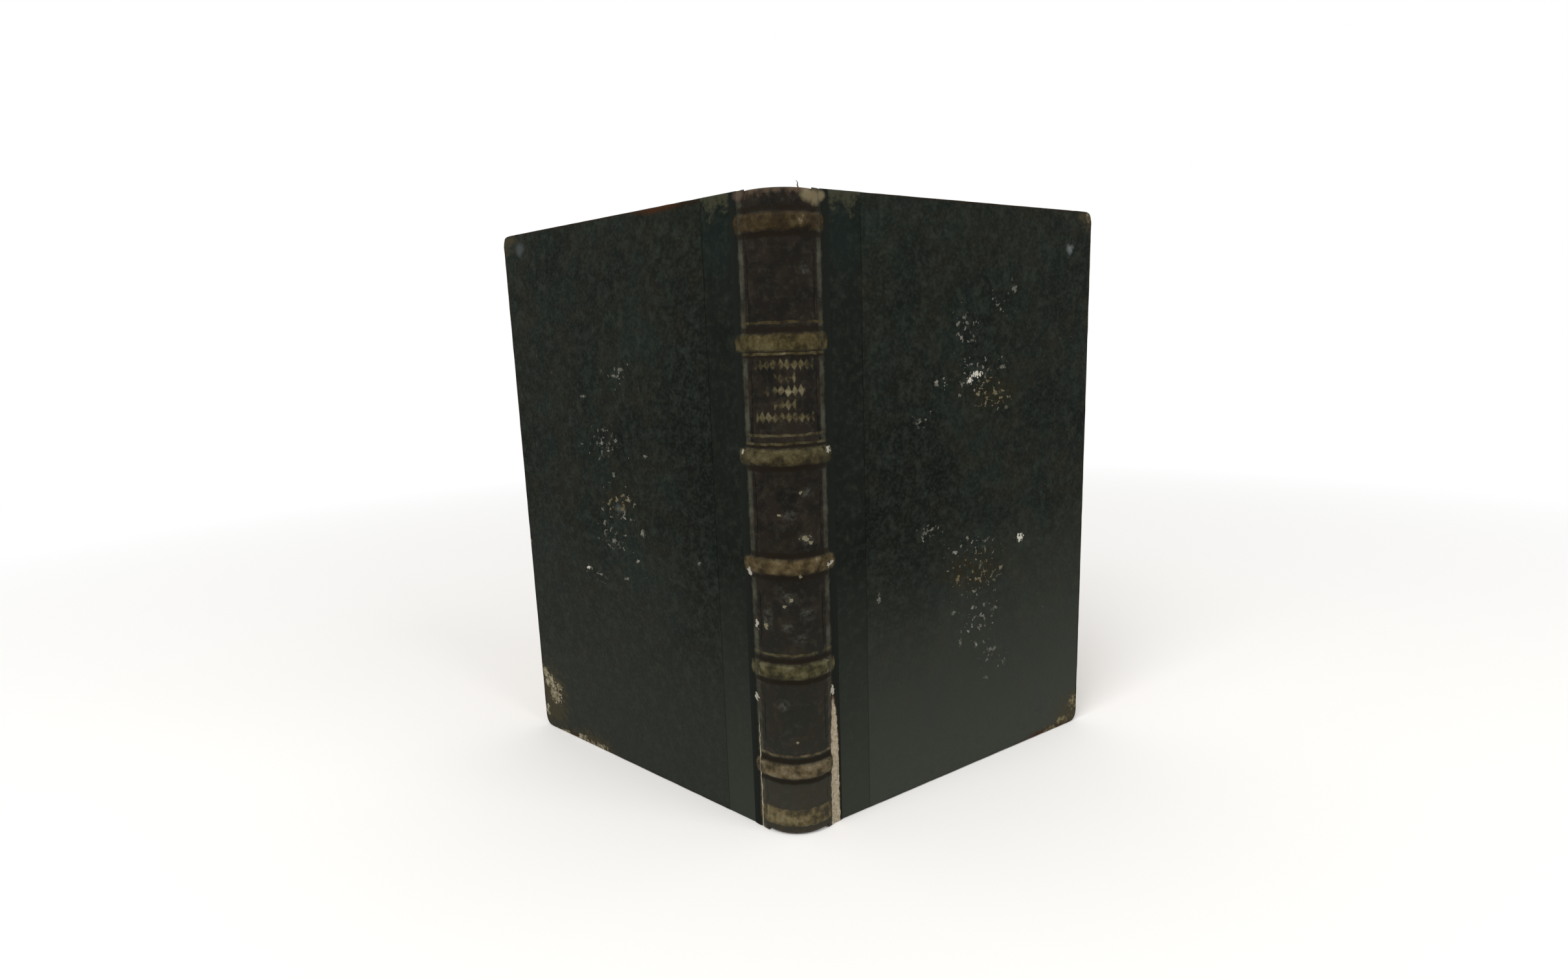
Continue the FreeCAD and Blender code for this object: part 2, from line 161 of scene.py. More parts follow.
def pickEdges(test):
    # selects the edges whose two ends pass the test
    bpy.ops.mesh.select_mode(type="EDGE")
    bpy.ops.mesh.select_all(action="DESELECT")
    mesh = bpy.context.object.data
    shape = bmesh.from_edit_mesh(mesh)
    for edge in shape.edges:
        if test(edge.verts[0].co, edge.verts[1].co):
            edge.select_set(True)
    bmesh.update_edit_mesh(mesh)


def cut(spot, normal):
    # through the whole piece, to give its faces points that can be moved
    selectAll()
    bpy.ops.mesh.bisect(plane_co=spot, plane_no=normal)


def drawProfile(name, spots):
    # one point, extruded from spot to spot and closed to a loop
    focus()
    bpy.ops.mesh.primitive_plane_add(size=mm, location=spots[0])
    piece = settle(name)
    bpy.ops.object.mode_set(mode="EDIT")
    selectAll()
    bpy.ops.mesh.merge(type="CENTER")
    for here, there in zip(spots, spots[1:]):
        bpy.ops.mesh.extrude_vertices_move(TRANSFORM_OT_translate={"value": there - here})
    bpy.ops.mesh.select_all(action="DESELECT")
    shape = bmesh.from_edit_mesh(piece.data)
    for corner in shape.verts:
        if len(corner.link_edges) < 2:
            corner.select_set(True)
    bmesh.update_edit_mesh(piece.data)
    bpy.ops.mesh.edge_face_add()
    return piece


def drawPrism(name, spots, low, high, step):
    # a filled loop at the low end, drawn up to the high one
    piece = drawProfile(name, [Vector((spot.x, spot.y, low * mm)) for spot in spots])
    selectAll()
    bpy.ops.mesh.edge_face_add()
    count = round((high - low) / step)
    rise = (0, 0, (high - low) / count * mm)
    for index in range(count):
        bpy.ops.mesh.extrude_region_move(TRANSFORM_OT_translate={"value": rise})
    closePiece()
    return piece


def applyModifier(piece, kind, **settings):
    focus(piece)
    modifier = piece.modifiers.new(kind.title(), kind)
    for key, value in settings.items():
        setattr(modifier, key, value)
    bpy.ops.object.modifier_apply(modifier=modifier.name)


def smooth(piece, degrees):
    focus(piece)
    bpy.ops.object.shade_smooth_by_angle(angle=math.radians(degrees))


def roughen(piece, weightAt, size, strength, level=0.5):
    # moves points in and out by a cloudy pattern, each by the weight that its place gets
    group = piece.vertex_groups.new(name="rough")
    for corner in piece.data.vertices:
        weight = weightAt(corner.co)
        if weight > 0:
            group.add([corner.index], min(weight, 1), "REPLACE")
    texture = bpy.data.textures.new(piece.name + "Cloud", "CLOUDS")
    texture.noise_scale = size * mm
    texture.noise_depth = 2
    applyModifier(piece, "DISPLACE", texture=texture, texture_coords="LOCAL", vertex_group="rough",
                  strength=strength * mm, mid_level=level)


def layFlat(piece, flatten):
    # the UV map holds millimetres on the real surface, for the patterns that follow it
    mesh = piece.data
    layer = mesh.uv_layers.active or mesh.uv_layers.new(name="UVMap")
    flat = [flatten(corner.co) for corner in mesh.vertices]
    for loop in mesh.loops:
        layer.data[loop.index].uv = flat[loop.vertex_index]


def ease(value):
    value = max(0.0, min(1.0, value))
    return value * value * (3 - 2 * value)


# Materials: colours are written as sRGB and turned to linear here.
def linear(code):
    parts = [int(code[i:i + 2], 16) / 255 for i in (1, 3, 5)]
    return tuple(p / 12.92 if p <= 0.04045 else ((p + 0.055) / 1.055) ** 2.4 for p in parts) + (1.0,)


def plug(tree, node, inputs):
    # inputs come in order, or by socket name or number: each a constant, a colour code, another
    # node or one of its outputs
    for key, value in inputs.items() if isinstance(inputs, dict) else enumerate(inputs):
        if isinstance(value, str):
            value = linear(value)
        if isinstance(value, bpy.types.Node):
            value = next(socket for socket in value.outputs if socket.enabled)
        if isinstance(value, bpy.types.NodeSocket):
            tree.links.new(value, node.inputs[key])
        else:
            node.inputs[key].default_value = value


def addNode(tree, kind, inputs=(), ramp=None, **settings):
    node = tree.nodes.new("ShaderNode" + kind)
    for key, value in settings.items():
        setattr(node, key, value)
    if ramp:
        while len(node.color_ramp.elements) < len(ramp):
            node.color_ramp.elements.new(0.5)
        for element, (place, colour) in zip(node.color_ramp.elements, ramp):
            element.position = place
            element.color = linear(colour)
    plug(tree, node, inputs)
    return node


def newMaterial(name):
    material = bpy.data.materials.new(name)
    material.use_nodes = True
    tree = material.node_tree
    tree.nodes.clear()
    shader = addNode(tree, "BsdfPrincipled")
    addNode(tree, "OutputMaterial", {"Surface": shader})
    return material, tree, shader


def wear(material, *pieces):
    for piece in pieces:
        piece.data.materials.clear()
        piece.data.materials.append(material)


# Camera, where the photograph was taken from.
shot = {
    "place": (-10.21 * mm, -317.18 * mm, 164.94 * mm),
    "yaw": -0.65,
    "lookDown": 10.29,
    "roll": -1.97,
    "lens": 18.75,
    "sensor": 36.0,
}


def makeCamera():
    lens = bpy.data.cameras.new("camera")
    lens.lens = shot["lens"]
    lens.sensor_width = shot["sensor"]
    lens.clip_start = 0.01
    camera = bpy.data.objects.new("camera", lens)
    bpy.context.scene.collection.objects.link(camera)
    turn = Matrix.Rotation(math.radians(shot["yaw"]), 4, "Z")
    tilt = Matrix.Rotation(math.radians(90 - shot["lookDown"]), 4, "X")
    roll = Matrix.Rotation(math.radians(shot["roll"]), 4, "Z")
    camera.matrix_world = Matrix.Translation(shot["place"]) @ turn @ tilt @ roll
    bpy.context.scene.camera = camera


# Soft studio: a pale floor, a wide lamp over the viewer's left and a weaker one at the right. Each
# lamp has its place, size and power.
studio = {
    "floorWidth": 6.0,
    "floorColour": "#f8f6f3",
    "fadeFrom": 0.28,
    "fadeTo": 0.8,
    "worldStrength": 0.55,
    "lamps": {"keyLamp": ((-0.7, -0.9, 1.3), 0.9, 17.0), "fillLamp": ((0.9, -0.7, 0.8), 0.8, 6.0)},
    "aim": (0.0, 0.0, 0.1),
}


def seenRays(tree):
    # 1 for what is looked at, also in a reflection or through something, 0 for light that falls
    rays = addNode(tree, "LightPath")
    seen = rays.outputs["Is Camera Ray"]
    for kind in ("Is Glossy Ray", "Is Transmission Ray"):
        seen = addNode(tree, "Math", [seen, rays.outputs[kind]], operation="MAXIMUM")
    return seen


def makeFloor():
    focus()
    bpy.ops.mesh.primitive_plane_add(size=studio["floorWidth"])
    floor = bpy.context.object
    floor.name = "floor"
    # Near the book the floor takes light and shadow; further off it turns into the white backdrop.
    material, tree, shader = newMaterial("paintedFloor")
    plug(tree, shader, {"Base Color": studio["floorColour"], "Roughness": 0.85, "Specular IOR Level": 0.1})
    place = addNode(tree, "TexCoord").outputs["Object"]
    far = addNode(tree, "VectorMath", [place], operation="LENGTH")
    fade = addNode(tree, "MapRange", [far, studio["fadeFrom"], studio["fadeTo"]])
    light = addNode(tree, "Emission", {"Color": (1, 1, 1, 1), "Strength": 1.0})
    share = addNode(tree, "Math", [seenRays(tree), fade], operation="MULTIPLY")
    mixed = addNode(tree, "MixShader", [share, shader, light])
    plug(tree, next(node for node in tree.nodes if node.type == "OUTPUT_MATERIAL"), {"Surface": mixed})
    wear(material, floor)


def makeLight():
    world = bpy.data.worlds.new("studio")
    bpy.context.scene.world = world
    world.use_nodes = True
    tree = world.node_tree
    tree.nodes.clear()
    dim = addNode(tree, "Background", {"Color": (1, 1, 1, 1), "Strength": studio["worldStrength"]})
    white = addNode(tree, "Background", {"Color": (1, 1, 1, 1), "Strength": 1.0})
    mixed = addNode(tree, "MixShader", [seenRays(tree), dim, white])
    addNode(tree, "OutputWorld", {"Surface": mixed})
    for name, (place, size, power) in studio["lamps"].items():
        lamp = bpy.data.lights.new(name, "AREA")
        lamp.size = size
        lamp.energy = power
        holder = bpy.data.objects.new(name, lamp)
        bpy.context.scene.collection.objects.link(holder)
        holder.location = place
        holder.rotation_mode = "QUATERNION"
        holder.rotation_quaternion = (Vector(studio["aim"]) - Vector(place)).to_track_quat("-Z", "Y")


makeCamera()
makeFloor()
makeLight()
bpy.context.scene.view_settings.view_transform = "Standard"
print("stage: camera, floor and lamps")

# The raised bands, shared by the spine leather and the joints. The ears say how much of a band's
# height is left where it meets the joint, from the tail up: some stand out past the spine.
bands = {
    "lift": 0.9,
    "topHalf": 1.4,
    "footHalf": 3.2,
    "steps": (0, 0.6, 1.2, 1.7, 2.2, 2.7, 3.25),
    "ears": {"front": [0.2, 0.3, 0.85, 0.7, 0.45, 0.2], "back": [0.2, 0.3, 0.85, 0.95, 0.85, 0.3]},
    "earReach": {"front": 2.4, "back": 3.3},
    "fullTo": 0.86,
}


def bandLift(up):
    # height of the leather over the panels, and which band it is
    for index, bandHeight in enumerate(bandHeights):
        away = abs(up - bandHeight)
        if away < bands["footHalf"]:
            share = 1 - ease((away - bands["topHalf"]) / (bands["footHalf"] - bands["topHalf"]))
            return bands["lift"] * share, index
    return 0.0, None


def earShare(name, fromEdge, index):
    # fromEdge in millimetres: negative on the spine, positive over the joint and the board
    ear = bands["ears"][name][index]
    if fromEdge <= 0:
        start = (bands["fullTo"] - 1) * edgeAngle * spineRadius
        return 1 - (1 - ear) * ease((fromEdge - start) / -start)
    return ear * (1 - ease(fromEdge / bands["earReach"][name]))


# Spine leather: one skin over the back, its head and tail drawn into caps over the endbands.
spine = {
    "capRadius": 2.1,
    "capInner": 0.9,
    "capSteps": 5,
    "tailRoll": 2.35,
    "headRoll": 207.65,
    "turnInThick": 0.4,
    "tailFold": 12.0,
    "headFold": 202.1,
    "panelStep": 2.6,
    "bandRoom": 0.9,
    "stepsRound": 46,
    "pastEdge": 3.0,
    "sagDepth": 0.22,
    "sagReach": 9.0,
    "waveSize": 9.0,
    "waveDepth": 0.32,
}
skinInner = spineRadius - book["skinThick"]
capMiddle = skinInner - spine["turnInThick"] - spine["capInner"]


def spineHeights():
    # close together on the bands, even on the panels
    low, high = spine["tailRoll"], spine["headRoll"]
    heights = {low, high}
    count = round((high - low) / spine["panelStep"])
    for index in range(1, count):
        up = low + index * (high - low) / count
        if all(abs(up - bandHeight) > bands["footHalf"] + spine["bandRoom"] for bandHeight in bandHeights):
            heights.add(up)
    for bandHeight in bandHeights:
        for away in bands["steps"]:
            heights.update((bandHeight + away, bandHeight - away))
    return sorted(up for up in heights if low <= up <= high)


def capSpots(roll, start):
    # a quarter turn over an endband, from the start in degrees
    spots = []
    for index in range(spine["capSteps"] + 1):
        bend = math.radians(start + 90 / spine["capSteps"] * index)
        spots.append((capMiddle + spine["capRadius"] * math.cos(bend),
                      roll + spine["capRadius"] * math.sin(bend)))
    return spots


def makeSpineSkin():
    tail, head, lip = spine["tailRoll"], spine["headRoll"], spine["capInner"]
    turned = skinInner - spine["turnInThick"]
    heights = spineHeights()
    # Up the outside from the lip of the tail cap, over the head and down the inside.
    profile = capSpots(tail, -90) + [(spineRadius + bandLift(up)[0], up) for up in heights] + capSpots(head,
                                                                                                       0)
    profile += [(capMiddle, head + lip), (capMiddle + lip * 0.7, head + lip * 0.7), (turned, head),
                (turned, spine["headFold"]), (skinInner, spine["headFold"])]
    profile += [(skinInner + bandLift(up)[0], up) for up in reversed(heights)
                if spine["tailFold"] < up < spine["headFold"]]
    profile += [(skinInner, spine["tailFold"]), (turned, spine["tailFold"]), (turned, tail),
                (capMiddle + lip * 0.7, tail - lip * 0.7), (capMiddle, tail - lip)]
    cleaned = [profile[0]]
    for point in profile[1:]:
        if math.dist(point, cleaned[-1]) > 0.02:
            cleaned.append(point)
    start = -(edgeAngle + math.radians(spine["pastEdge"]))
    piece = drawProfile("spineSkin", [spineSpot(start, radius, up) for radius, up in cleaned])
    selectAll()
    bpy.ops.mesh.spin(steps=spine["stepsRound"], angle=2 * start, center=spineAxis, axis=(0, 0, 1))
    selectAll()
    bpy.ops.mesh.bisect(plane_co=middle, plane_no=(0, 1, 0), use_fill=True, clear_outer=True)
    closePiece()

    # The ends of the bands are pressed down towards the joints, and the panels sink a little.
    for corner in piece.data.vertices:
        angle, radius = onBack(corner.co)
        up = corner.co.z / mm
        lift, index = bandLift(up)
        fromEdge = (abs(angle) - edgeAngle) * spineRadius
        change = 0.0
        if index is not None and fromEdge > -bands["footHalf"] * 2:
            change -= lift * (1 - earShare("front" if angle > 0 else "back", min(fromEdge, 0), index))
        if index is None and spine["tailFold"] < up < spine["headFold"]:
            nearest = min(abs(up - bandHeight) for bandHeight in bandHeights)
            change -= spine["sagDepth"] * ease((nearest - bands["footHalf"]) / spine["sagReach"])
        moved = (radius + change) / radius
        corner.co.x = spineAxis[0] + (corner.co.x - spineAxis[0]) * moved
        corner.co.y = spineAxis[1] + (corner.co.y - spineAxis[1]) * moved
    roughen(piece, lambda co: ease((onBack(co)[1] - skinInner - 0.3) / 0.3), spine["waveSize"],
            spine["waveDepth"])
    layFlat(piece, lambda co: (spineRadius * onBack(co)[0], co.z / mm))
    smooth(piece, 40)
    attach(piece, "text_and_spine")
    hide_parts("spine_leather")
    return piece


spineSkin = makeSpineSkin()
print("stage: spine leather")

# Outer joints: the leather that crosses from the spine to each cover. Each row is the place
# across the joint in millimetres, from the spine's edge, and how far the leather stands out there.
joint = {
    "spineSide": [(-3.4, -0.08), (-2.8, 0.02), (-2.2, 0.06), (-1.7, 0.1), (-1.2, 0.15), (-0.8, 0.21),
                  (-0.4, 0.25), (0.0, 0.2)],
    "coverSide": [(0.4, 0.06), (0.8, 0.09), (1.3, 0.12), (1.9, 0.1), (2.5, 0.05), (3.1, -0.05)],
    "valley": 0.03,
    "thick": 0.32,
    "step": 1.5,
    "foot": 0.3,
    "ridgeHalf": 1.2,
    "waveSize": 2.5,
    "waveDepth": 0.24,
    "bendFrom": -0.6,
    "bendTo": 1.1,
}


def makeJoint(name):
    side = sides[name]
    rows = []
    for away, stand in joint["spineSide"]:
        angle = side["sign"] * (edgeAngle + away / spineRadius)
        rows.append((spineSpot(angle, spineRadius, 0), spineSpot(angle, spineRadius + 1, 0), stand))
    for away, stand in joint["coverSide"]:
        rows.append((coverSpot(side, away, 0, 0), coverSpot(side, away, -1, 0), stand))
    edge = len(joint["spineSide"])
    before, after = rows[edge - 1:edge + 1]
    rows.insert(edge, ((before[0] + after[0]) / 2, (before[1] + after[1]) / 2, joint["valley"]))
    outer = []
    inner = []
    for base, out, stand in rows:
        direction = (out - base).normalized()
        outer.append(base + direction * stand * mm)
        inner.append(base - direction * joint["thick"] * mm)
    piece = drawPrism(name + "Joint", outer + inner[::-1], joint["foot"], book["height"] - joint["foot"],
                      joint["step"])

    def across(co):
        # place across the joint, in millimetres from the spine's edge
        if co.y < middle.y:
            return (abs(onBack(co)[0]) - edgeAngle) * spineRadius
        return (side["seat"].inverted() @ co / mm).x + book["spineEdge"]

    # The bands run out over the joint as ears, and the crease is a little uneven.
    outward = (coverSpot(side, 0, -1, 0) - coverSpot(side, 0, 0, 0)).normalized()
    for corner in piece.data.vertices:
        away = across(corner.co)
        lift, index = bandLift(corner.co.z / mm)
        if index is not None:
            radial = Vector((corner.co.x - spineAxis[0], corner.co.y - spineAxis[1], 0)).normalized()
            direction = radial.lerp(outward, ease((away + 0.8) / 1.8)).normalized()
            corner.co += direction * lift * earShare(name, away, index) * mm
    half = joint["ridgeHalf"]
    roughen(piece, lambda co: 1 - ease((abs(across(co)) - half) / half), joint["waveSize"],
            joint["waveDepth"])
    layFlat(piece, lambda co: (across(co), co.z / mm))
    smooth(piece, 50)
    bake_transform(piece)
    return piece


frontJoint = makeJoint("front")
backJoint = makeJoint("back")
print("stage: outer joints")

# Inner joints: the endpaper that crosses from the leaves to each pastedown.
innerJoint = {
    "flyleaf": 0.15,
    "thick": 0.18,
    "low": 4.0,
    "high": 206.0,
    "step": 4.0,
    "steps": 8,
    "slack": 0.35,
    "pasteReach": 0.3,
    "pasteDepth": 3.2,
}


def makeInnerJoint(name):
    side = sides[name]
    leafAway = book["leavesThick"] / 2 + innerJoint["flyleaf"] / 2
    leaf = Vector((middle.x + side["sign"] * leafAway * mm, middle.y + book["jointClear"] * mm, 0))
    board = coverSpot(side, book["jointClear"] + innerJoint["pasteReach"], innerJoint["pasteDepth"], 0)
    chord = board - leaf
    normal = Vector((chord.y, -chord.x, 0)).normalized() * side["sign"]
    line = []
    for index in range(innerJoint["steps"] + 1):
        share = index / innerJoint["steps"]
        line.append(leaf + chord * share + normal * innerJoint["slack"] * mm * math.sin(math.pi * share))
    half = normal * (innerJoint["thick"] / 2 * mm)
    spots = [spot + half for spot in line] + [spot - half for spot in reversed(line)]
    piece = drawPrism(name + "InnerJoint", spots, innerJoint["low"], innerJoint["high"], innerJoint["step"])
    layFlat(piece, lambda co: (abs(co.x - middle.x) / mm, co.z / mm))
    smooth(piece, 50)
    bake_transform(piece)
    return piece


frontInnerJoint = makeInnerJoint("front")
backInnerJoint = makeInnerJoint("back")
print("stage: inner joints")

# Covers: each is a wrapped board. near and far are millimetres from the hinge.
cover = {
    "wrapThick": 3.2,
    "windowDepth": 2.8,
    "windowRoom": 5.0,
    "cornerRound": 3.5,
    "edgeRound": 0.7,
    "leatherDrop": 0.12,
    "hingeRoom": 0.3,
    "fineStep": 1.6,
    "coarseStep": 4.0,
    "fineReach": 16.0,
    "cornerWear": 12.0,
    "rimWear": 1.6,
    "rimShare": 0.45,
    "dentSize": 2.2,
    "dentDepth": 0.5,
}


def ladder(low, high, fineLow, fineHigh):
    # places between low and high, close together within reach of a worn edge
    places = []
    place = low
    while place < high:
        atLow = fineLow and place < low + cover["fineReach"]
        atHigh = fineHigh and place > high - cover["fineReach"]
        place += cover["fineStep"] if atLow or atHigh else cover["coarseStep"]
        if place < high - 0.9:
            places.append(place)
    return places


def makeWrap(name, side, near, far, top):
    # top is how deep the outer face lies under the cover's own
    sign, thick, height = side["sign"], cover["wrapThick"], book["height"]
    atFore = far > book["boardWidth"] - 1
    piece = addBlock(name, ((near + far) / 2, sign * ((top + thick) / 2), height / 2),
                     (far - near, thick - top, height))
    openPiece(piece)
    if atFore:
        pickEdges(lambda one, other: min(one.x, other.x) > (far - 0.1) * mm and abs(one.y - other.y) > mm)
        bpy.ops.mesh.bevel(offset=cover["cornerRound"] * mm, segments=7, affect="EDGES")

    def onRim(one, other):
        # an outline edge of the outer or inner face, away from the spine side
        level = abs(one.y - other.y) < 0.01 * mm
        atNear, atFar = (max(abs(one.x - end * mm), abs(other.x - end * mm)) < 0.01 * mm for end in (near,
                                                                                                     far))
        return level and not atNear and (atFore or not atFar)

    pickEdges(onRim)
    bpy.ops.mesh.bevel(offset=cover["edgeRound"] * mm, segments=3, affect="EDGES")
    for place in ladder(near, far, False, atFore):
        cut((place * mm, 0, 0), (1, 0, 0))
    for place in ladder(0, height, True, True):
        cut((0, 0, place * mm), (0, 0, 1))
    closePiece()

    # The window between the turned-in edges, where the pastedown sinks to the board.
    windowFar = far - book["turnIn"] if atFore else far + cover["windowRoom"]
    size = (windowFar - near + cover["windowRoom"], 2.0, height - 2 * book["turnIn"])
    window = addBlock("window", (windowFar - size[0] / 2, sign * (cover["windowDepth"] + 1), height / 2),
                      size)
    applyModifier(piece, "BOOLEAN", operation="DIFFERENCE", object=window, solver="EXACT")
    bpy.data.objects.remove(window)
    layFlat(piece, lambda co: (co.x / mm, co.z / mm))
    return piece


def seatWrap(piece, side, body, node):
    piece.data.transform(side["seat"])
    smooth(piece, 35)
    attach(piece, body)
    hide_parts(node)


def makeCover(name):
    side = sides[name]
    body = name + "_cover"
    width, height, seam = book["boardWidth"], book["height"], book["leatherOverlap"]
    cloth = makeWrap(name + "Siding", side, seam, width, 0.0)

    def worn(co):
        # corners are crushed most, the rims less
        spot = (co.x / mm, co.z / mm)
        corner = min(math.dist(spot, (width, 0)), math.dist(spot, (width, height)))
        rim = min(width - spot[0], spot[1], height - spot[1])
        return max(1 - ease(corner / cover["cornerWear"]),
                   cover["rimShare"] * (1 - ease(rim / cover["rimWear"])))

    roughen(cloth, worn, cover["dentSize"], cover["dentDepth"], 0.75)
    seatWrap(cloth, side, body, name + "_covering")
    strip = makeWrap(name + "SideLeather", side, book["jointClear"] + cover["hingeRoom"], seam,
                     cover["leatherDrop"])
    seatWrap(strip, side, body, name + "_leather")
    return cloth, strip


frontSiding, frontStrip = makeCover("front")
backSiding, backStrip = makeCover("back")
print("stage: covers")

# Leaves: sewn sections, each folded at the back, between a rounded back and a hollow fore-edge.
leaves = {
    "sections": 16,
    "backRadius": 13.0976,
    "foreEdge": 126.5,
    "foreHollow": 4.5,
    "low": 3.0,
    "high": 207.0,
    "flare": 0.8,
    "flareFrom": 0.1,
    "flareDeep": 1.7,
    "round": 0.16,
    "uneven": 0.1,
    "cuts": (0.004, 0.01, 0.02, 0.04, 0.1, 0.25, 0.5, 0.75, 0.95, 0.985),
}


def makeLeaves():
    half = book["leavesThick"] / 2
    thick = book["leavesThick"] / leaves["sections"]
    hollow = (half ** 2 + leaves["foreHollow"] ** 2) / (2 * leaves["foreHollow"])
    tall = leaves["high"] - leaves["low"]
    # A section is drawn one metre long, so that its length says the share from back to fore-edge.
    section = addBlock("leaves", (0, 500, leaves["low"] + tall / 2), (thick, 1000, tall))
    openPiece(section)
    pickEdges(lambda one, other: abs(one.x - other.x) < 0.01 * mm)
    bpy.ops.mesh.bevel(offset=leaves["round"] * mm, segments=2, affect="EDGES")
    for share in leaves["cuts"]:
        cut((0, share, 0), (0, 1, 0))
    cut((0, 0, 0), (1, 0, 0))
    copies = [section]
    for index in range(1, leaves["sections"]):
        focus(section)
        bpy.ops.object.duplicate()
        copies.append(bpy.context.object)
    for index, copy in enumerate(copies):
        start = -half + (index + 0.5) * thick
        foreShift = random.uniform(-1, 1) * leaves["uneven"]
        headShift = random.uniform(-1, 1) * leaves["uneven"]
        tailShift = random.uniform(0, 1) * leaves["uneven"]
        for corner in copy.data.vertices:
            x = corner.co.x / mm + start
            back = spineCentre - math.sqrt(leaves["backRadius"] ** 2 - x ** 2)
            fore = leaves["foreEdge"] - leaves["foreHollow"] + hollow - math.sqrt(hollow ** 2 - x ** 2)
            y = back + corner.co.y * (fore + foreShift - back)
            spread = ease((leaves["flareFrom"] - y) / leaves["flareDeep"]) * (abs(x) / half) ** 3
            x += math.copysign(leaves["flare"] * spread, x)
            up = corner.co.z / mm
            up += headShift if up > 100 else tailShift
            corner.co = (middle.x + x * mm, middle.y + y * mm, up * mm)
    focus(section)
    for copy in copies:
        copy.select_set(True)
    bpy.ops.object.join()
    openPiece(section)
    closePiece(weld=False)
    layFlat(section, lambda co: ((co.x - middle.x) / mm, co.z / mm))
    smooth(section, 30)
    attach(section, "text_and_spine")
    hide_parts("text_block")
    return section


leafBlock = makeLeaves()
print("stage: leaves")

# A shred of the leather stands up where the head cap has frayed.
fray = {
    "fromMiddle": 7.0,
    "under": 1.6,
    "foot": 208.4,
    "length": 3.3,
    "radius": 0.24,
    "flatness": 0.5,
    "taper": 0.7,
    "bow": 0.7,
    "curl": 0.12,
    "curls": 14.0,
    "cuts": 12,
}


def makeFray():
    focus()
    length = fray["length"]
    foot = spineSpot(fray["fromMiddle"] / spineRadius, spineRadius - fray["under"], fray["foot"])
    bpy.ops.mesh.primitive_cylinder_add(vertices=8, radius=fray["radius"] * mm, depth=length * mm,
                                        location=foot + Vector((0, 0, length / 2 * mm)))
    piece = settle("headFray")
    openPiece(piece)
    for index in range(1, fray["cuts"]):
        cut(foot + Vector((0, 0, length * index / fray["cuts"] * mm)), (0, 0, 1))
    focus(piece)
    for corner in piece.data.vertices:
        share = (corner.co.z - foot.z) / mm / length
        thin = 1 - fray["taper"] * share ** 2
        curl = fray["curl"] * math.sin(share * fray["curls"])
        sway = (fray["bow"] * (share ** 2 - 0.5 * share) + curl) * mm
        corner.co.x = foot.x + (corner.co.x - foot.x) * thin - sway
        corner.co.y = foot.y + (corner.co.y - foot.y) * thin * fray["flatness"] + 0.5 * sway
    layFlat(piece, lambda co: (fray["fromMiddle"] + (co.x - foot.x) / mm, co.z / mm))
    smooth(piece, 60)
    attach(piece, "text_and_spine")
    return piece


# Endbands: silk wound over a core, one turn modelled and copied round the back.
endband = {
    "turns": 40,
    "ringRadius": 0.52,
    "threadRadius": 0.13,
    "lean": 8.0,
    "coreRadius": 0.45,
    "coreSides": 8,
    "coreSteps": 28,
    "inset": 0.5,
    "colourPitch": 0.93,
}


def makeEndband(name, node, roll):
    reach = math.asin((book["leavesThick"] / 2 - endband["inset"]) / capMiddle)
    focus()
    bpy.ops.mesh.primitive_torus_add(
        major_radius=endband["ringRadius"] * mm, minor_radius=endband["threadRadius"] * mm,
        major_segments=14, minor_segments=6)
    first = bpy.context.object
    first.rotation_euler = (0, math.pi / 2, 0)
    bpy.ops.object.transform_apply(rotation=True)
    turns = [first]
    for index in range(1, endband["turns"]):
        focus(first)
        bpy.ops.object.duplicate()
        turns.append(bpy.context.object)
    lean = Matrix.Rotation(math.radians(endband["lean"]), 4, "Y")
    for index, turn in enumerate(turns):
        angle = -reach + (index + 0.5) * 2 * reach / endband["turns"]
        seat = Matrix.Translation(spineSpot(angle, capMiddle, roll)) @ Matrix.Rotation(angle, 4, "Z")
        turn.data.transform(seat @ lean)
    coreSpots = []
    for index in range(endband["coreSides"]):
        bend = 2 * math.pi * index / endband["coreSides"]
        coreSpots.append(spineSpot(-reach, capMiddle + endband["coreRadius"] * math.cos(bend),
                                   roll + endband["coreRadius"] * math.sin(bend)))
    core = drawProfile(name + "Core", coreSpots)
    selectAll()
    bpy.ops.mesh.edge_face_add()
    bpy.ops.mesh.spin(steps=endband["coreSteps"], angle=-2 * reach, center=spineAxis, axis=(0, 0, 1))
    closePiece()
    focus(first)
    for part in turns + [core]:
        part.select_set(True)
    bpy.ops.object.join()
    first.name = name
    first.data.name = name
    layFlat(first, lambda co: (capMiddle * onBack(co)[0], co.z / mm))
    smooth(first, 60)
    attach(first, "text_and_spine")
    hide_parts(node)
    return first


headFray = makeFray()
headEndband = makeEndband("headEndband", "head_endband", spine["headRoll"])
tailEndband = makeEndband("tailEndband", "tail_endband", spine["tailRoll"])
print("stage: endbands")

# Finishes. Every pattern is laid out in millimetres.
def millimetres(tree, bends=False):
    # a rigid piece takes its own body coordinates; one that bends at a joint takes its flat map
    coordinates = addNode(tree, "TexCoord")
    if bends:
        return coordinates.outputs["UV"]
    return addNode(tree, "VectorMath", {0: coordinates.outputs["Object"], 3: 1000.0}, operation="SCALE")


def surfacePlace(tree):
    # the flat map: its vector, the place across and the height
    flat = addNode(tree, "TexCoord").outputs["UV"]
    parts = addNode(tree, "SeparateXYZ", [flat])
    return flat, parts.outputs[0], parts.outputs[1]


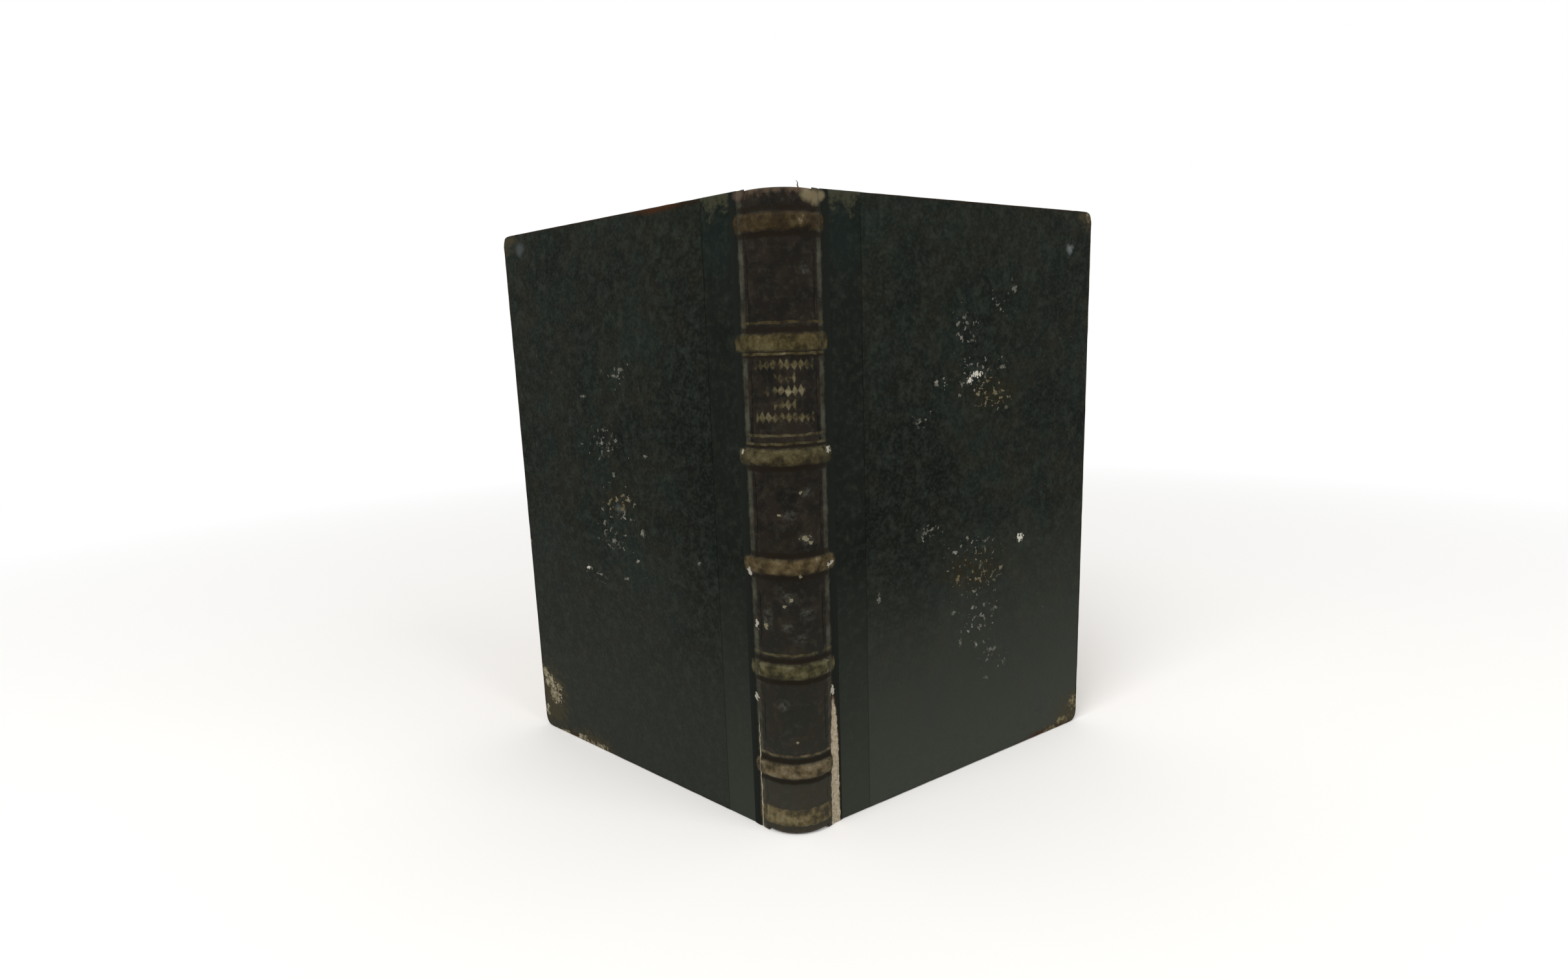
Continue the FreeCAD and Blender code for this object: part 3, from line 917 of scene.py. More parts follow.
def patches(tree, place, size, low=0.0, high=1.0, most=1.0, least=0.0, detail=3.0, roughness=0.6):
    # blotches of about the given size: least where their noise is under low, most where it is over high
    blotch = addNode(tree, "TexNoise",
                     {"Vector": place, "Scale": 1 / size, "Detail": detail, "Roughness": roughness})
    return addNode(tree, "MapRange", [blotch, low, high, least, most])


def lay(tree, colour, tone, value, low=0.0, high=1.0, most=1.0, least=0.0):
    # a tone over a colour, coming in as the value goes from low to high
    share = addNode(tree, "MapRange", [value, low, high, least, most])
    return addNode(tree, "Mix", {0: share, 6: colour, 7: tone}, data_type="RGBA")


def between(tree, value, low, high, soft):
    # 1 where value lies between low and high, with soft edges
    over = addNode(tree, "MapRange", [value, low - soft, low])
    under = addNode(tree, "MapRange", [value, high + soft, high])
    return addNode(tree, "Math", [over, under], operation="MULTIPLY")


def wander(tree, flat, size, reach):
    # the flat map pushed about, so that nothing on it has a ruled edge
    drift = addNode(tree, "TexNoise", {"Vector": flat, "Scale": 1 / size, "Detail": 3.0})
    centred = addNode(tree, "VectorMath", [drift.outputs["Color"], (0.5, 0.5, 0.5)], operation="SUBTRACT")
    step = addNode(tree, "VectorMath", {0: centred, 3: reach}, operation="SCALE")
    return addNode(tree, "VectorMath", [flat, step], operation="ADD")


def spots(tree, place, marks):
    # 1 in the middle of each mark (across, up, wide, tall), 0 at its edge and less beyond
    nearest = None
    for across, up, wide, tall in marks:
        near = addNode(tree, "Mapping",
                       {"Vector": place, "Location": (-across / wide, -up / tall, 0),
                        "Scale": (1 / wide, 1 / tall, 0)})
        away = addNode(tree, "VectorMath", [near], operation="LENGTH")
        nearest = away if nearest is None else addNode(tree, "Math", [nearest, away], operation="MINIMUM")
    return addNode(tree, "Math", [1.0, nearest], operation="SUBTRACT")


def shards(tree, flat, marks, grit, edge):
    # the same marks broken up by a grit of the given size into ragged chips
    broken = addNode(tree, "Math",
                     [spots(tree, flat, marks), patches(tree, flat, grit, 0.3, 0.7, 0.55, -0.55, 2.0)],
                     operation="ADD")
    return addNode(tree, "MapRange", [broken, edge, edge + 0.16])


def goatskin(tree, place, dye, patchSize):
    # patchy dye, rubbed high places, pores: gives its colour, how rubbed it is and its height
    colour = addNode(tree, "ValToRGB", [patches(tree, place, patchSize, detail=4.0)], ramp=dye)
    fine = patches(tree, place, 2.4, detail=5.0, roughness=0.7)
    rubbed = addNode(tree, "MapRange", [fine, 0.5, 0.74])
    pores = addNode(tree, "TexVoronoi", {"Vector": place, "Scale": 1 / 0.9}, feature="SMOOTH_F1")
    return colour, rubbed, addNode(tree, "Math", [pores, fine], operation="ADD")


# Spine leather: goatskin dyed green black, tooled with hot brass and gold leaf, then handled for
# years. It reads as brown black, with dull broken gold on the bands and in the tooled lines.
gilding = {
    "bandHalf": 2.45,
    "bandSoft": 0.5,
    "rules": [170.6, 161.2, 136.2, 133.6, 64.4, 29.0, 9.4, 3.9],
    "ruleHalf": 0.3,
    "grooveAway": 3.7,
    "grooveHalf": 0.5,
    "rowHeight": 3.3,
    "rowPitch": 2.15,
    "rows": [(157.9, 9.8), (153.9, 3.2), (149.9, 6.6), (145.8, 3.3), (141.8, 9.8)],
    "rollLow": 4.3,
    "rollHigh": 9.0,
    "leaf": [(0.035, "#6b6148"), (0.112, "#665c48"), (0.28, "#53503a"), (0.448, "#544934"),
             (0.616, "#4e4934"), (0.72, "#5f5a46"), (0.784, "#4d462e"), (0.952, "#403625")],
}
handling = {
    "chips": [(5.2, 103.2, 2.4, 1.3), (6.8, 101.6, 1.3, 0.9), (0, 83, 1.3, 1.2), (0.5, 34, 0.9, 0.8),
              (-9.5, 74, 1.4, 2.2), (3, 91, 0.8, 1.2), (-3, 111, 0.9, 0.8), (-2.5, 81, 1.0, 0.8),
              (4, 118, 0.8, 0.7)],
    "smudges": [(-1.0, 84, 3.4, 2.8), (-8.5, 77, 2.6, 4.0), (-2, 74, 2.8, 2.2), (5, 78, 3.2, 3.4),
                (7.5, 186, 2.2, 1.8), (5.5, 103, 3.6, 2.4), (0, 111, 3.2, 2.0), (3, 70, 3.0, 2.0),
                (-4, 47, 3.0, 2.6), (6, 118, 3.0, 2.0)],
    "headCorner": [(9.8, 207.4, 4.0, 2.8), (12.4, 206.4, 2.0, 3.4)],
}


def gild(tree, place, across, up, colour, cover, bandCover):
    # the covers say where tooling and banding are there at all; gives colour, gold and press
    pitch = (bandHeights[-1] - bandHeights[0]) / (len(bandHeights) - 1)
    raised = addNode(tree, "Math", [up, pitch / 2 - bandHeights[0]], operation="ADD")
    wrapped = addNode(tree, "Math", [raised, pitch], operation="FLOORED_MODULO")
    away = addNode(tree, "Math", [wrapped, pitch / 2], operation="SUBTRACT")
    away = addNode(tree, "Math", [away], operation="ABSOLUTE")
    onSpine = between(tree, up, bandHeights[0] - 6, bandHeights[-1] + 6, 0.1)

    # Painted shade: a dark line in the groove along each band, at the foot of its rise.
    grooveShade = between(tree, away, gilding["grooveAway"] - gilding["grooveHalf"],
                      gilding["grooveAway"] + gilding["grooveHalf"], 0.8)
    for share in (onSpine, cover):
        grooveShade = addNode(tree, "Math", [grooveShade, share], operation="MULTIPLY")
    colour = lay(tree, colour, "#150f07", grooveShade, most=0.85)

    worn = patches(tree, place, 4.2, detail=5.0, roughness=0.66)
    onBand = addNode(tree, "MapRange",
                     [away, gilding["bandHalf"] + gilding["bandSoft"],
                      gilding["bandHalf"] - gilding["bandSoft"]])
    for share in (onSpine, bandCover):
        onBand = addNode(tree, "Math", [onBand, share], operation="MULTIPLY")
    tooled = 0.0
    for height in gilding["rules"]:
        line = between(tree, up, height - gilding["ruleHalf"], height + gilding["ruleHalf"], 0.25)
        tooled = addNode(tree, "Math", [tooled, line], operation="MAXIMUM")
    tooled = addNode(tree, "Math", [tooled, 0.7], operation="MULTIPLY")
    cell = addNode(tree, "Math", [across, gilding["rowPitch"]], operation="FLOORED_MODULO")
    cell = addNode(tree, "Math", [cell, gilding["rowPitch"] / 2], operation="SUBTRACT")
    cell = addNode(tree, "Math", [cell], operation="ABSOLUTE")
    width = addNode(tree, "Math", [across], operation="ABSOLUTE")
    for row, reach in gilding["rows"]:
        # a row of small lozenges that touch
        above = addNode(tree, "Math", [up, row], operation="SUBTRACT")
        above = addNode(tree, "Math", [above], operation="ABSOLUTE")
        slope = addNode(tree, "Math", [above, gilding["rowPitch"] / gilding["rowHeight"], cell],
                        operation="MULTIPLY_ADD")
        lozenge = addNode(tree, "MapRange", [slope, gilding["rowPitch"] * 0.62, gilding["rowPitch"] * 0.4])
        inside = addNode(tree, "MapRange", [width, reach + 0.4, reach])
        inside = addNode(tree, "Math", [lozenge, inside], operation="MULTIPLY")
        tooled = addNode(tree, "Math", [tooled, inside], operation="MAXIMUM")
    petals = addNode(tree, "MapRange",
                     [cell, gilding["rowPitch"] * 0.2, gilding["rowPitch"] * 0.34, 1.0, 0.8])
    roll = addNode(tree, "Math", [between(tree, up, gilding["rollLow"], gilding["rollHigh"], 0.3), petals],
                   operation="MULTIPLY")
    tooled = addNode(tree, "Math", [tooled, roll], operation="MAXIMUM")
    tooled = addNode(tree, "Math", [tooled, cover], operation="MULTIPLY")

    # What is left of the leaf: most on the bands, less in the tooling.
    kept = addNode(tree, "MapRange", [worn, 0.34, 0.52])
    kept = addNode(tree, "Math", [tooled, kept], operation="MULTIPLY")
    keptBand = addNode(tree, "MapRange", [worn, 0.3, 0.5, 0.4, 1.0])
    keptBand = addNode(tree, "Math", [onBand, keptBand], operation="MULTIPLY")
    gold = addNode(tree, "Math", [kept, keptBand], operation="MAXIMUM")
    rising = addNode(tree, "MapRange", [up, 0.0, book["height"]])
    leaf = addNode(tree, "ValToRGB", [rising], ramp=gilding["leaf"])
    # Painted shine and highlight: the leaf is painted darker where its pattern is low and brighter where it
    # is high, lightest at the top.
    shine = addNode(tree, "ValToRGB", [worn], ramp=[(0.36, "#8f8b83"), (0.5, "#cfcabc"), (0.62, "#ffffff")])
    leaf = addNode(tree, "Mix", {0: 1.0, 6: leaf, 7: shine}, data_type="RGBA", blend_type="MULTIPLY")
    leaf = lay(tree, leaf, "#7d745c", worn, 0.62, 0.76, 0.8)
    return lay(tree, colour, leaf, gold), gold, tooled


def coat(tree, shader, inputs, height, deep, strength=0.8, **settings):
    # what the shader takes, and a fine relief, deep in millimetres
    bump = addNode(tree, "Bump", {"Height": height, "Strength": strength, "Distance": deep * mm}, **settings)
    plug(tree, shader, {**inputs, "Normal": bump})


def finishLeather(tree, shader, colour, rubbed, shine, height, deep, gold=None):
    # shine is the roughness where the skin is untouched and where it is rubbed. Old dressing has
    # gone dull, so the specular level is well under that of new leather.
    rough = addNode(tree, "MapRange", {0: rubbed, 3: shine[0], 4: shine[1]})
    coat(tree, shader, {"Base Color": colour, "Roughness": rough, "Specular IOR Level": 0.06}, height, deep)
    if gold is not None:
        plug(tree, shader, {"Metallic": addNode(tree, "Math", [gold, 0.3], operation="MULTIPLY")})


def spineColour(tree, place, up):
    dye = [(0.3, "#0c0d0b"), (0.45, "#12110e"), (0.58, "#16130f"), (0.72, "#0f120d")]
    colour, rubbed, height = goatskin(tree, place, dye, 16.0)
    # The lower panels are painted lighter and greyer towards the foot: a painted reflection of the pale
    # floor. The lowest panel is lighter again.
    colour = lay(tree, colour, "#292a24", up, 95.0, 0.0, 0.9)
    colour = lay(tree, colour, "#292119", patches(tree, place, 7.0, 0.42, 0.6, 0.4))
    colour = lay(tree, colour, "#38352b", up, 22.0, 17.0, 0.35)
    return lay(tree, colour, "#3a372d", rubbed, most=0.4), rubbed, height


def makeSpineLeather():
    material, tree, shader = newMaterial("gildedGoatskin")
    place = millimetres(tree)
    flat, across, up = surfacePlace(tree)
    colour, rubbed, height = spineColour(tree, place, up)
    loose = wander(tree, flat, 2.2, 1.8)
    smudged = addNode(tree, "MapRange", {0: spots(tree, loose, handling["smudges"]), 2: 0.7})
    smudged = addNode(tree, "Math", [smudged, patches(tree, flat, 1.5, 0.4, 0.62)], operation="MULTIPLY")
    colour = lay(tree, colour, "#42423b", smudged, most=0.7)
    hand = addNode(tree, "SeparateXYZ", [wander(tree, flat, 3.0, 1.2)])     # the tool was held by hand
    colour, gold, pressed = gild(tree, place, hand.outputs[0], hand.outputs[1], colour, 1.0, 1.0)
    colour = lay(tree, colour, "#696451", shards(tree, flat, handling["chips"], 1.2, 0.35))
    # Head and tail caps are worn brown by fingers and the shelf.
    edge = addNode(tree, "Math", [up, patches(tree, flat, 2.6, 0.3, 0.7, 1.3, -1.3)], operation="ADD")
    colour = lay(tree, colour, "#4f4132", edge, 207.4, 209.6, 0.85)
    colour = lay(tree, colour, "#3d3327", edge, 2.6, 0.4, 0.7)
    colour = lay(tree, colour, "#6f654d", spots(tree, loose, handling["headCorner"]), 0.05, 0.6, 0.8)
    height = addNode(tree, "Math", [pressed, -1.2, height], operation="MULTIPLY_ADD")
    finishLeather(tree, shader, colour, rubbed, (0.64, 0.5), height, 0.09, gold)
    return material


# Joint leather: the same skin, creased each time the book is opened until its ridge is rubbed
# grey; where it has torn, the undyed fibre shows as pale tan with a brown rim.
creases = {
    "front": {
        "torn": [(0.5, 0.0, 2.2, 48.0), (0.6, 21.0, 2.0, 27.0)],
        "bright": [(0.6, 130.4, 1.6, 1.4), (-1.2, 93.0, 1.0, 1.2), (0.9, 93.5, 1.7, 1.2),
                   (0.2, 49.0, 1.5, 1.9)],
        "thin": [(-2.6, 207.0, 3.0, 3.2), (0.4, 207.8, 2.2, 2.2)],
        "thinTone": "#6f654d",
    },
    "back": {
        "torn": [(-0.6, 14.0, 0.3, 30.0)],
        "bright": [(0.8, 91.5, 1.3, 2.2), (0.0, 48.0, 1.3, 1.6), (-1.6, 74.0, 1.1, 2.0),
                   (1.4, 130.6, 1.0, 0.9)],
        "thin": [(-1.0, 208.6, 3.2, 2.6)],
        "thinTone": "#52453a",
    },
}
ridge = {"from": -1.6, "to": -0.2, "soft": 0.9}


def makeJointLeather(name):
    material, tree, shader = newMaterial(name + "CreasedGoatskin")
    marks = creases[name]
    flat, across, up = surfacePlace(tree)
    colour, rubbed, height = spineColour(tree, flat, up)
    colour = lay(tree, colour, "#121511", across, -0.6, 1.0)
    loose = wander(tree, flat, 2.2, 1.3)
    looseAcross = addNode(tree, "SeparateXYZ", [loose]).outputs[0]
    cover = addNode(tree, "MapRange", [looseAcross, 0.9, -0.4])
    ears = [(0.2, bandHeight, 0.8 + ear * bands["earReach"][name], bands["footHalf"] + 0.6)
            for bandHeight, ear in zip(bandHeights, bands["ears"][name])]
    ears = addNode(tree, "MapRange", [spots(tree, loose, ears), 0.02, 0.3])
    fromMiddle = addNode(tree, "Math", [across, edgeAngle * spineRadius], operation="ADD")
    grey = addNode(tree, "Math",
                   [between(tree, looseAcross, ridge["from"], ridge["to"], ridge["soft"]),
                    patches(tree, flat, 9.0, 0.36, 0.66, 0.75, 0.05, 4.0, 0.75)], operation="MULTIPLY")
    colour = lay(tree, colour, "#4b4b3f", grey)
    onSpine = addNode(tree, "MapRange", [across, -1.8, -2.6])
    bandCover = addNode(tree, "Math", [ears, onSpine], operation="MAXIMUM")
    colour, gold, pressed = gild(tree, flat, fromMiddle, up, colour, cover, bandCover)
    torn = spots(tree, loose, marks["torn"])
    colour = lay(tree, colour, "#2a1a0d", torn, -0.14, 0.06)
    pale = addNode(tree, "ValToRGB", [patches(tree, flat, 1.3, detail=5.0, roughness=0.7)],
                   ramp=[(0.3, "#695d48"), (0.5, "#948975"), (0.7, "#ada28d")])
    colour = lay(tree, colour, pale, torn, 0.02, 0.16)
    colour = lay(tree, colour, marks["thinTone"], spots(tree, loose, marks["thin"]), 0.05, 0.6, 0.8)
    colour = lay(tree, colour, "#959286", shards(tree, flat, marks["bright"], 1.1, 0.3))
    finishLeather(tree, shader, colour, rubbed, (0.7, 0.56), height, 0.1, gold)
    return material


def makeSideLeather():
    # The strip of spine leather on each board: smoother and darker than the cloth beside it.
    material, tree, shader = newMaterial("boardGoatskin")
    dye = [(0.3, "#0a0d0a"), (0.46, "#0f120e"), (0.6, "#111411"), (0.76, "#171712")]
    place = millimetres(tree)
    colour, rubbed, height = goatskin(tree, place, dye, 20.0)
    flat, across, up = surfacePlace(tree)
    # Painted reflection of the pale floor: lighter and greyer towards the foot.
    colour = lay(tree, colour, "#2f322b", up, 92.0, 0.0, 0.95)
    colour = lay(tree, colour, "#2c2f28",
                 patches(tree, place, 3.4, 0.5, 0.7, 0.35, detail=5.0, roughness=0.7))
    wide = wander(tree, flat, 4.0, 6.0)
    colour = lay(tree, colour, "#0f221e", spots(tree, wide, [(9, 196, 12, 14)]), 0.0, 0.8, 0.3)
    head = addNode(tree, "Math",
                   [spots(tree, wide, [(9, 212, 13, 9)]),
                    patches(tree, flat, 3.2, 0.35, 0.65, 0.5, -0.5, 4.0, 0.7)], operation="ADD")
    colour = lay(tree, colour, "#3a3a2b", head, 0.1, 0.6, 0.7)
    colour = lay(tree, colour, "#33362e", rubbed, most=0.25)
    finishLeather(tree, shader, colour, rubbed, (0.72, 0.6), height, 0.06)
    return material


# Board covering: cotton cloth filled with starch, dyed black green and pressed with a pebble
# grain; faded and scuffed. Marks are places on the cover, in millimetres from the hinge and from
# the foot, each with its size.
scuffs = {
    "front": {
        "paintedReflection": "#373933",
        "deep": [(32, 112, 32, 62)],
        "fields": [(62, 166, 12, 14), (68, 150, 28, 14), (76, 142, 20, 10), (68, 86, 26, 12),
                   (70, 76, 24, 16), (70, 58, 20, 15), (77, 44, 15, 13), (44, 97, 12, 8), (40, 137, 8, 6),
                   (80, 176, 10, 9)],
        "gold": [(66, 78, 22, 9), (78, 144, 14, 7)],
        "flecks": [(86.5, 181, 1.8, 2.0), (85, 184, 0.9, 1.0), (48, 149, 1.7, 1.6), (59, 144, 1.5, 1.1),
                   (68, 144, 1.6, 1.2), (81, 153, 2.8, 1.1), (83, 138, 1.2, 1.6), (40, 136.5, 1.6, 0.9),
                   (42, 97, 1.6, 1.5), (63, 91.5, 1.8, 1.1), (57, 87, 1.8, 1.1), (58.5, 76.5, 1.5, 2.0),
                   (56, 64, 1.8, 1.2), (66, 64, 1.2, 1.3), (77, 61, 2.6, 1.3), (60, 52, 1.3, 2.2),
                   (68, 49, 1.2, 1.6), (78, 45, 2.2, 1.5), (83.5, 38, 1.3, 2.0), (74, 34, 2.4, 1.0),
                   (81, 77, 1.6, 1.2), (61, 171, 1.0, 1.6), (65, 163, 1.4, 0.9), (21, 77, 1.2, 2.6)],
        "bright": [(67.5, 151, 3.4, 1.6), (64, 149, 1.8, 1.4), (91.8, 87, 2.3, 2.1)],
        "bloom": [(116.8, 195.7, 2.8, 2.4)],
        "bloomTone": "#5a5e5d",
        "corners": [(128, 3, 15, 13), (129, 210, 9, 8)],
        "rims": [(131.0, 105, 3.3, 900), (70, -1.0, 900, 2.0), (70, 211.2, 900, 2.6)],
        "rust": [(110, -1, 26, 4)],
        "bare": [(127.0, 9.5, 3.4, 4.2), (121.0, 3.2, 5.4, 2.2), (129.0, 208.6, 3.4, 3.0),
                 (112, 1.0, 5.0, 1.8)],
        "fibre": [(0.34, "#332c1d"), (0.48, "#4c4431"), (0.58, "#635a43"), (0.7, "#7b7259")],
    },
    "back": {
        "paintedReflection": "#272924",
        "deep": [(22, 120, 24, 80)],
        "fields": [(72, 130, 20, 12), (68, 106, 20, 15), (72, 93, 20, 11), (62, 155, 14, 8), (82, 78, 16, 6)],
        "gold": [(68, 108, 12, 6)],
        "flecks": [(83.7, 147, 2.2, 0.9), (61, 157, 2.0, 0.9), (73, 134.5, 2.2, 0.9), (86.6, 128.5, 1.2, 0.9),
                   (71, 127, 1.5, 1.2), (68.7, 118, 1.3, 1.6), (61, 109, 2.6, 1.2), (66, 105, 2.2, 0.8),
                   (76.6, 98.5, 1.8, 1.3), (54, 97, 2.0, 1.9), (71, 92, 1.8, 1.4), (24.6, 90, 1.2, 1.2),
                   (50, 126, 1.6, 0.9), (58, 86, 2.0, 0.9), (65.4, 78, 1.8, 0.9)],
        "bright": [(88.7, 79, 1.6, 1.1)],
        "bloom": [(118, 204, 4.0, 3.4), (66, 105, 4.0, 2.0)],
        "bloomTone": "#3b4040",
        "corners": [(124, 14, 15, 18), (129, 210, 11, 9), (95, 0, 18, 7)],
        "rims": [(131.0, 105, 3.5, 900), (70, -1.0, 900, 2.4), (24, 212.0, 40, 5.0), (70, 211.2, 900, 2.6)],
        "rust": [(131, 20, 4, 20), (36, 211, 18, 4), (100, -1, 24, 4)],
        "bare": [(120.6, 16.4, 5.0, 4.6), (123.6, 21.5, 4.6, 3.8), (126.8, 25.2, 2.8, 3.2),
                 (117.0, 20.6, 2.4, 1.8), (102.5, 0.6, 4.6, 2.6), (91, 0.4, 7, 2.4), (130.2, 84, 1.8, 2.2),
                 (115.5, 0.2, 5, 1.8), (127.6, 7.5, 1.8, 2.8)],
        "fibre": [(0.34, "#453d2d"), (0.48, "#6a624c"), (0.58, "#86806c"), (0.7, "#a09a88")],
    },
}


def makeCoverCloth(name):
    material, tree, shader = newMaterial(name + "GrainedBookCloth")
    marks = scuffs[name]
    place = millimetres(tree)
    flat, across, up = surfacePlace(tree)
    colour = addNode(tree, "ValToRGB", [patches(tree, place, 30.0, detail=4.0)],
                     ramp=[(0.34, "#0a0e0b"), (0.46, "#10140f"), (0.56, "#161711"), (0.68, "#111a17")])
    colour = lay(tree, colour, "#0e1b19", patches(tree, place, 13.0, 0.5, 0.68, 0.45))
    colour = lay(tree, colour, "#221d14", patches(tree, place, 7.5, 0.54, 0.7, 0.4))
    # Painted reflection of the pale floor: lighter and greyer towards the foot.
    colour = lay(tree, colour, marks["paintedReflection"], up, 100.0, 0.0, 0.95)
    # Beside the spine the cloth is darker, in a soft patch.
    deep = spots(tree, wander(tree, flat, 30.0, 20.0), marks["deep"])
    colour = lay(tree, colour, "#070a08", deep, 0.0, 0.7, 0.6)
    colour = lay(tree, colour, "#2e332d",
                 patches(tree, place, 3.6, 0.48, 0.7, 0.5, detail=5.0, roughness=0.7))

    # Pebble grain, drawn a little over a millimetre across; its tops are rubbed lighter.
    pebble = addNode(tree, "TexVoronoi", {"Vector": place, "Scale": 1 / 1.15}, feature="SMOOTH_F1")
    colour = lay(tree, colour, "#2f322b", pebble, 0.1, 0.55, 0.0, 0.28)

    # Chips where the filling has flaked, thick in some fields and single elsewhere.
    wide = wander(tree, flat, 7.0, 8.0)
    needed = addNode(tree, "MapRange", {0: spots(tree, wide, marks["fields"]), 2: 0.8, 3: 0.755, 4: 0.565})
    chips = addNode(tree, "Math", [patches(tree, flat, 2.1, detail=2.0), needed], operation="SUBTRACT")
    chips = addNode(tree, "MapRange", {0: chips, 1: 0.0, 2: 0.03, 4: 0.9})
    single = shards(tree, flat, marks["flecks"], 1.1, 0.35)
    flecked = addNode(tree, "Math", [chips, single], operation="MAXIMUM")
    chipTone = lay(tree, "#33352c", "#74726a", patches(tree, flat, 4.5, 0.4, 0.64))
    gold = addNode(tree, "MapRange", [spots(tree, wide, marks["gold"]), 0.0, 0.5])
    stain = addNode(tree, "Math", [gold, patches(tree, flat, 4.0, 0.4, 0.6, 0.6, 0.1)], operation="MULTIPLY")
    colour = lay(tree, colour, "#231d0f", stain)
    chipTone = lay(tree, chipTone, "#615737", gold, most=0.6)
    bloom = spots(tree, wander(tree, flat, 2.4, 2.6), marks["bloom"])
    colour = lay(tree, colour, marks["bloomTone"], bloom, 0.05, 0.7, 0.9)
    colour = lay(tree, colour, chipTone, flecked)
    colour = lay(tree, colour, "#b0ada1", shards(tree, flat, marks["bright"], 1.0, 0.3))

    # Worn corners and edges: brown where the cloth is thin, then the fibre of the pasteboard.
    corner = addNode(tree, "Math",
                     [spots(tree, wander(tree, flat, 3.2, 4.5), marks["corners"]),
                      patches(tree, flat, 2.4, 0.35, 0.65, 0.4, -0.4, 4.0, 0.7)], operation="ADD")
    colour = lay(tree, colour, "#393425", corner, 0.0, 0.6, 0.8)
    rim = spots(tree, wander(tree, flat, 3.0, 1.4), marks["rims"])
    colour = lay(tree, colour, "#1d1409", rim, 0.1, 0.45, 0.9)
    rust = spots(tree, wander(tree, flat, 3.0, 2.6), marks["rust"])
    colour = lay(tree, colour, "#36200f", rust, 0.1, 0.5, 0.85)
    bare = shards(tree, wander(tree, flat, 2.6, 2.2), marks["bare"], 1.6, 0.16)
    board = addNode(tree, "ValToRGB", [patches(tree, flat, 2.2, detail=4.0, roughness=0.65)],
                    ramp=marks["fibre"])
    colour = lay(tree, colour, board, bare)
    gone = addNode(tree, "Math", [bare, flecked], operation="MAXIMUM")
    grain = addNode(tree, "Math", [pebble, gone], operation="ADD")
    coat(tree, shader, {"Base Color": colour, "Roughness": 0.66, "Specular IOR Level": 0.045},
         grain, 0.16, 1.0, invert=True)
    return material


def makePaper(name, colours, patchSize, specks, bends=False):
    # rag paper, browned by the air and foxed
    material, tree, shader = newMaterial(name)
    place = millimetres(tree, bends)
    colour = addNode(tree, "ValToRGB", [patches(tree, place, patchSize, detail=5.0)], ramp=colours)
    colour = lay(tree, colour, "#8d6236", patches(tree, place, 6.0, 0.64, 0.78, specks, roughness=0.5))
    coat(tree, shader, {"Base Color": colour, "Roughness": 0.85, "Specular IOR Level": 0.2},
         patches(tree, place, 0.7, detail=4.0), 0.03, 0.5)
    return material, tree, shader, colour


def makePageEdges():
    # Cut edges of the leaves: fine lines side by side, drawn at a quarter of a millimetre so that they show,
    # and browner in patches along the low lines between them.
    ramp = [(0.3, "#a08658"), (0.5, "#bba274"), (0.7, "#cdb98f")]
    material, tree, shader, colour = makePaper("pageEdges", ramp, 18.0, 0.5)
    line = addNode(tree, "CombineXYZ", [surfacePlace(tree)[1]])
    sheets = patches(tree, line, 0.28, detail=2.0, roughness=0.8)
    dark = addNode(tree, "MapRange", [sheets, 0.56, 0.4])
    dark = addNode(tree, "Math", [dark, patches(tree, line, 1.4, 0.4, 0.7, 0.25, 0.75, 2.0)],
                   operation="MULTIPLY")
    coat(tree, shader, {"Base Color": lay(tree, colour, "#6f5935", dark)}, sheets, 0.08)
    return material


def makeSilk():
    # Silk thread wound turn by turn: two colours in turn, faded and dulled by dust.
    material, tree, shader = newMaterial("woundSilk")
    place = millimetres(tree)
    pitch = endband["colourPitch"]
    second = addNode(tree, "Math", [surfacePlace(tree)[1], pitch], operation="FLOORED_MODULO")
    second = addNode(tree, "Math", [second, pitch / 2], operation="GREATER_THAN")
    colour = lay(tree, "#a08e66", "#5d4632", second)
    colour = lay(tree, colour, "#6b614c", patches(tree, place, 4.0, 0.4, 0.7, 0.6))
    coat(tree, shader, {"Base Color": colour, "Roughness": 0.5, "Sheen Weight": 0.3},
         patches(tree, place, 0.15, detail=2.0), 0.03, 0.6)
    return material


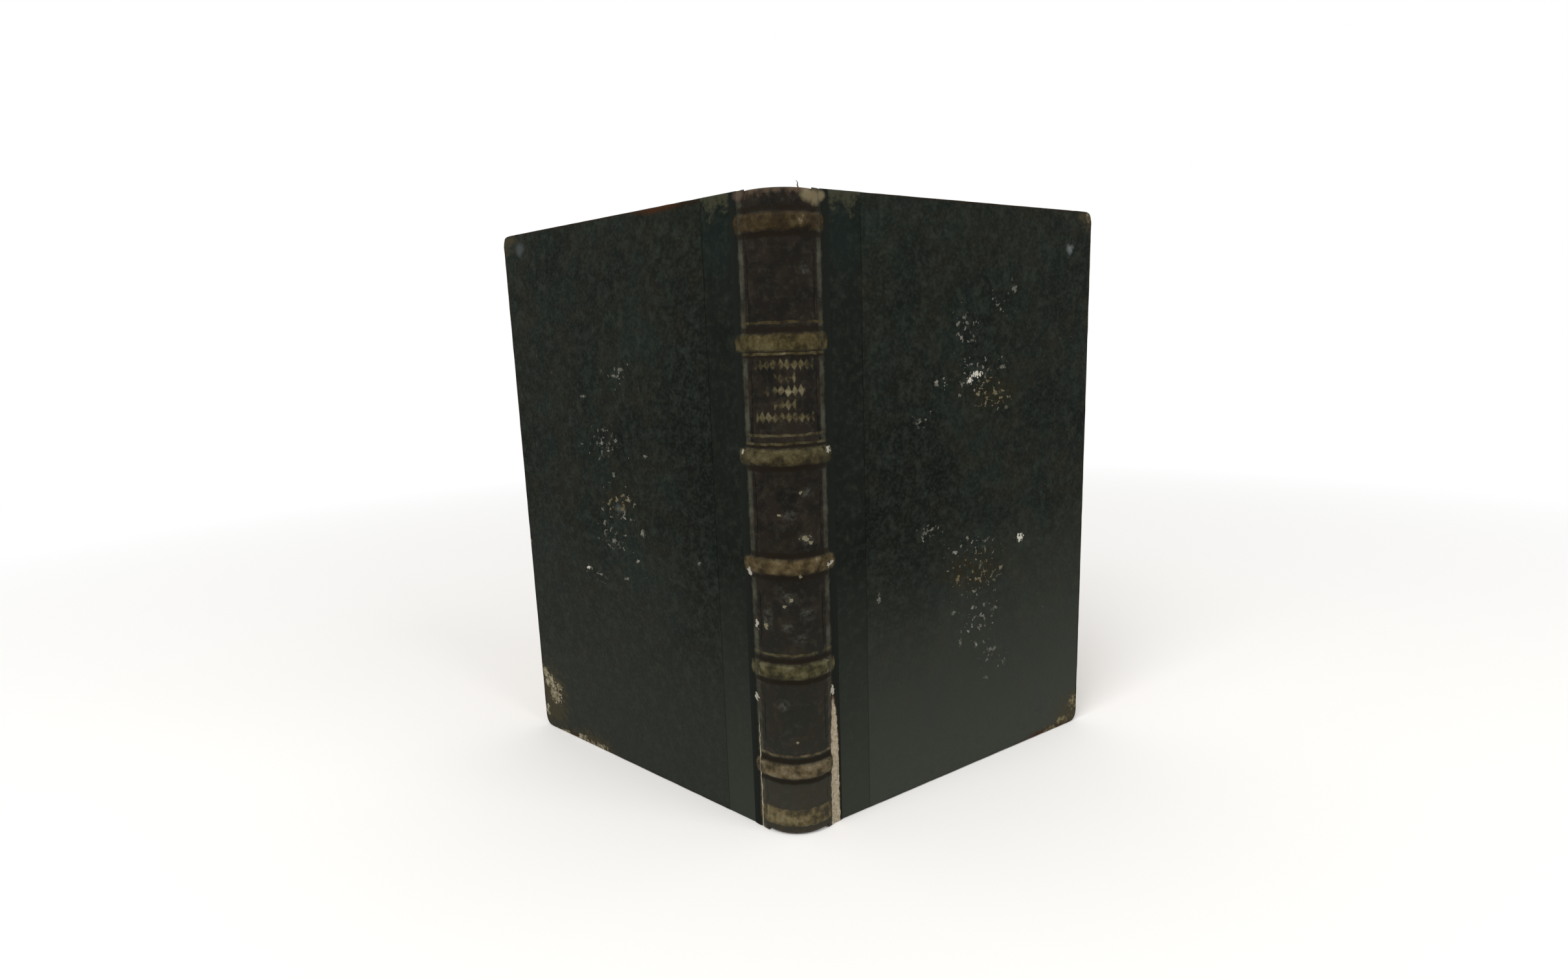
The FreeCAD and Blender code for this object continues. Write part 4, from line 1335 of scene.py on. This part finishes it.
def makeCord():
    # Linen cord, laid in strands and soaked in glue: dull straw with a slanting twist.
    material, tree, shader = newMaterial("laidLinenCord")
    twist = addNode(tree, "TexWave",
                    {"Vector": millimetres(tree), "Scale": 0.22, "Distortion": 3.0, "Detail": 2.0},
                    bands_direction="DIAGONAL")
    colour = addNode(tree, "ValToRGB", [twist], ramp=[(0.2, "#6f5c3d"), (0.8, "#a48f66")])
    coat(tree, shader, {"Base Color": colour, "Roughness": 0.85}, twist, 0.1, 0.7)
    return material


def makePasteboard():
    # Sheets of waste paper pasted and pressed into board: brown grey and full of fibre.
    material, tree, shader = newMaterial("pressedPasteboard")
    fibre = patches(tree, millimetres(tree), 2.0, detail=6.0, roughness=0.7)
    colour = addNode(tree, "ValToRGB", [fibre], ramp=[(0.3, "#554836"), (0.5, "#7d6c52"), (0.7, "#9b8a6c")])
    coat(tree, shader, {"Base Color": colour, "Roughness": 0.9}, fibre, 0.12, 0.7)
    return material


endpaperTones = [(0.3, "#b0966a"), (0.5, "#c5ae84"), (0.7, "#d3c09a")]
wear(makeSpineLeather(), spineSkin, headFray)
for name, jointPiece, siding in (("front", frontJoint, frontSiding), ("back", backJoint, backSiding)):
    wear(makeJointLeather(name), jointPiece)
    wear(makeCoverCloth(name), siding)
wear(makeSideLeather(), frontStrip, backStrip)
wear(makePageEdges(), leafBlock)
wear(makeSilk(), headEndband, tailEndband)
endpaper = makePaper("ragEndpaper", endpaperTones, 40.0, 0.75)[0]
foldedEndpaper = makePaper("foldedRagEndpaper", endpaperTones, 40.0, 0.75, True)[0]
liningTones = [(0.3, "#8a7148"), (0.5, "#a68c60"), (0.7, "#b79f74")]
liningPaper = makePaper("gluedLiningPaper", liningTones, 12.0, 0.4)[0]
linenCord = makeCord()
pasteboard = makePasteboard()
nodes = frame["nodes"]
wear(foldedEndpaper, frontInnerJoint, backInnerJoint)
for name in sides:
    wear(endpaper, nodes[name + "_pastedown"], nodes[name + "_flyleaf"])
    wear(pasteboard, nodes[name + "_board"])
    wear(linenCord, nodes[name + "_cord_slips"])
for number in range(1, len(bandHeights) + 1):
    wear(linenCord, nodes[f"sewing_cord_{number}"])
    wear(liningPaper, nodes[f"spine_lining_{number}"])
print("stage: finishes")
